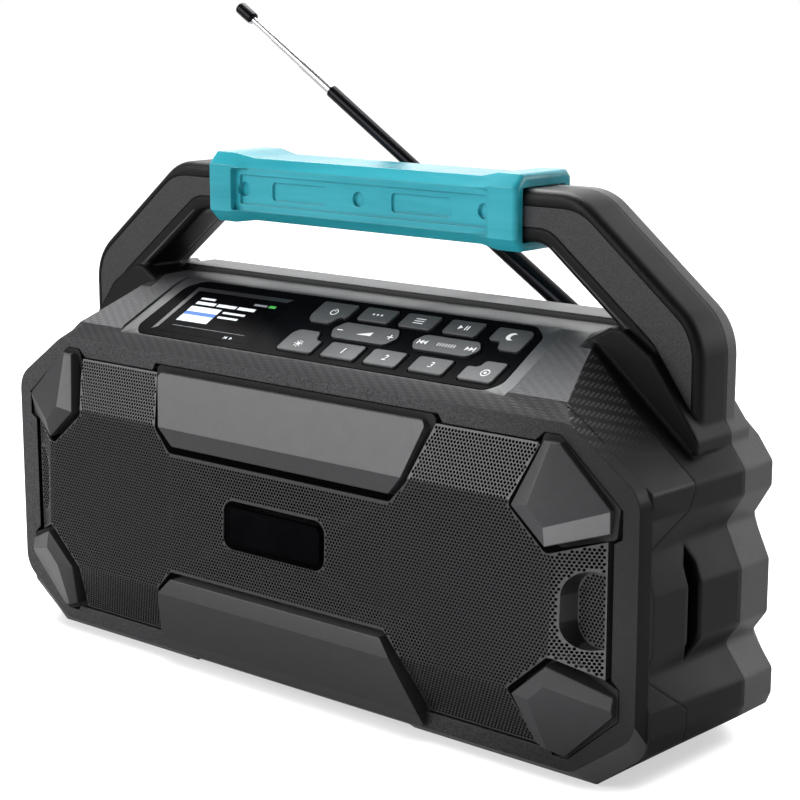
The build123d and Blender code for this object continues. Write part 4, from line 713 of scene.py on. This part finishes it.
def white_floor():
    """Pale matt floor.  Seen directly, its own glow brings it up to white except where the object shades it.

    The glow falls with the occlusion within 11 mm, so the shadow under the object's edges stays.
    """
    mat = surface("matt_white_floor", "#b4b4b4", 0.9, Specular_IOR_Level=0.1)
    tree = mat.node_tree
    straight, glossy = ray_kinds(mat)
    open_sky = add(mat, "AmbientOcclusion", {"Distance": 11 * MM}, out=1, samples=8)
    lift = add(mat, "MapRange", {"Value": open_sky, "From Min": 0.4, "From Max": 0.75,
                                 "To Min": 0.55, "To Max": 1.0})
    seen = add(mat, "Math", (straight, lift), operation="MULTIPLY")
    total_glow = add(mat, "Math", (glossy, 0.12, seen), operation="MULTIPLY_ADD")
    glow = tree.nodes.new("ShaderNodeEmission")
    both = tree.nodes.new("ShaderNodeAddShader")
    tree.links.new(total_glow, glow.inputs["Strength"])
    tree.links.new(tree.nodes["Principled BSDF"].outputs[0], both.inputs[0])
    tree.links.new(glow.outputs[0], both.inputs[1])
    tree.links.new(both.outputs[0], tree.nodes["Material Output"].inputs["Surface"])
    return mat


REACH = 12.0            # half width of the floor
floor_mesh = bpy.data.meshes.new("floor")
floor_mesh.from_pydata([(-REACH, -REACH, 0), (REACH, -REACH, 0), (REACH, REACH, 0), (-REACH, REACH, 0)],
                       [], [(0, 1, 2, 3)])
floor_mesh.materials.append(white_floor())
floor = bpy.data.objects.new("floor", floor_mesh)
bpy.context.scene.collection.objects.link(floor)

# a studio with a white wall behind the object and an unlit space in front of it
world = bpy.data.worlds.new("studio")
bpy.context.scene.world = world
world.use_nodes = True
sky = world.node_tree.nodes["Background"]
sky.inputs["Color"].default_value = (1, 1, 1, 1)
straight, glossy = ray_kinds(world)
rearward = add(world, "SeparateXYZ", (add(world, "TexCoord", out=0),)).node.outputs[1]
wall = add(world, "MapRange", {"Value": rearward, "From Min": 0.0, "From Max": 0.6,
                               "To Min": DARK_FRONT, "To Max": BRIGHT_WALL})
dim = add(world, "Mix", {"Factor": glossy, 2: AMBIENT, 3: wall}, data_type="FLOAT")
shown = add(world, "Mix", {"Factor": straight, 2: dim, 3: BACKDROP}, data_type="FLOAT")
world.node_tree.links.new(shown, sky.inputs["Strength"])


def soft_light(name, place, glow, width, height, target=(0, 0, 0.11)):
    """Rectangular lamp of a given brightness, aimed at a point: its power is glow x pi x its area."""
    lamp = bpy.data.lights.new(name, "AREA")
    lamp.shape = "RECTANGLE"
    lamp.energy, lamp.size, lamp.size_y = glow * math.pi * width * height, width, height
    holder = bpy.data.objects.new(name, lamp)
    holder.location = place
    holder.visible_camera = False
    holder.rotation_euler = (Vector(target) - Vector(place)).to_track_quat("-Z", "Y").to_euler()
    bpy.context.scene.collection.objects.link(holder)


soft_light("key_from_front_left", (-1.1, -1.62, 0.95), glow=5.0, width=2.0, height=1.1)
soft_light("top_from_left", (-0.66, 0.5, 1.38), glow=11.5, width=0.95, height=0.95)
soft_light("rim_from_rear_right", (1.3, 0.9, 0.75), glow=2.2, width=1.0, height=0.8)
soft_light("card_on_floor", (0.19, -0.2, 0.002), glow=4.5, width=0.2, height=0.14, target=(0.19, -0.2, 1.0))

LOOKS_DOWN, FROM_RIGHT = 11.664, 41.069         # the camera's tilt and turn, degrees
camera = bpy.data.cameras.new("camera")
camera.lens, camera.sensor_width = 90.19, 36.0
eye = bpy.data.objects.new("camera", camera)
eye.location = (0.54985, -0.60597, 0.28739)
eye.rotation_euler = (math.radians(90 - LOOKS_DOWN), 0, math.radians(FROM_RIGHT))
bpy.context.scene.collection.objects.link(eye)
bpy.context.scene.camera = eye
bpy.context.scene.view_settings.view_transform = "Standard"
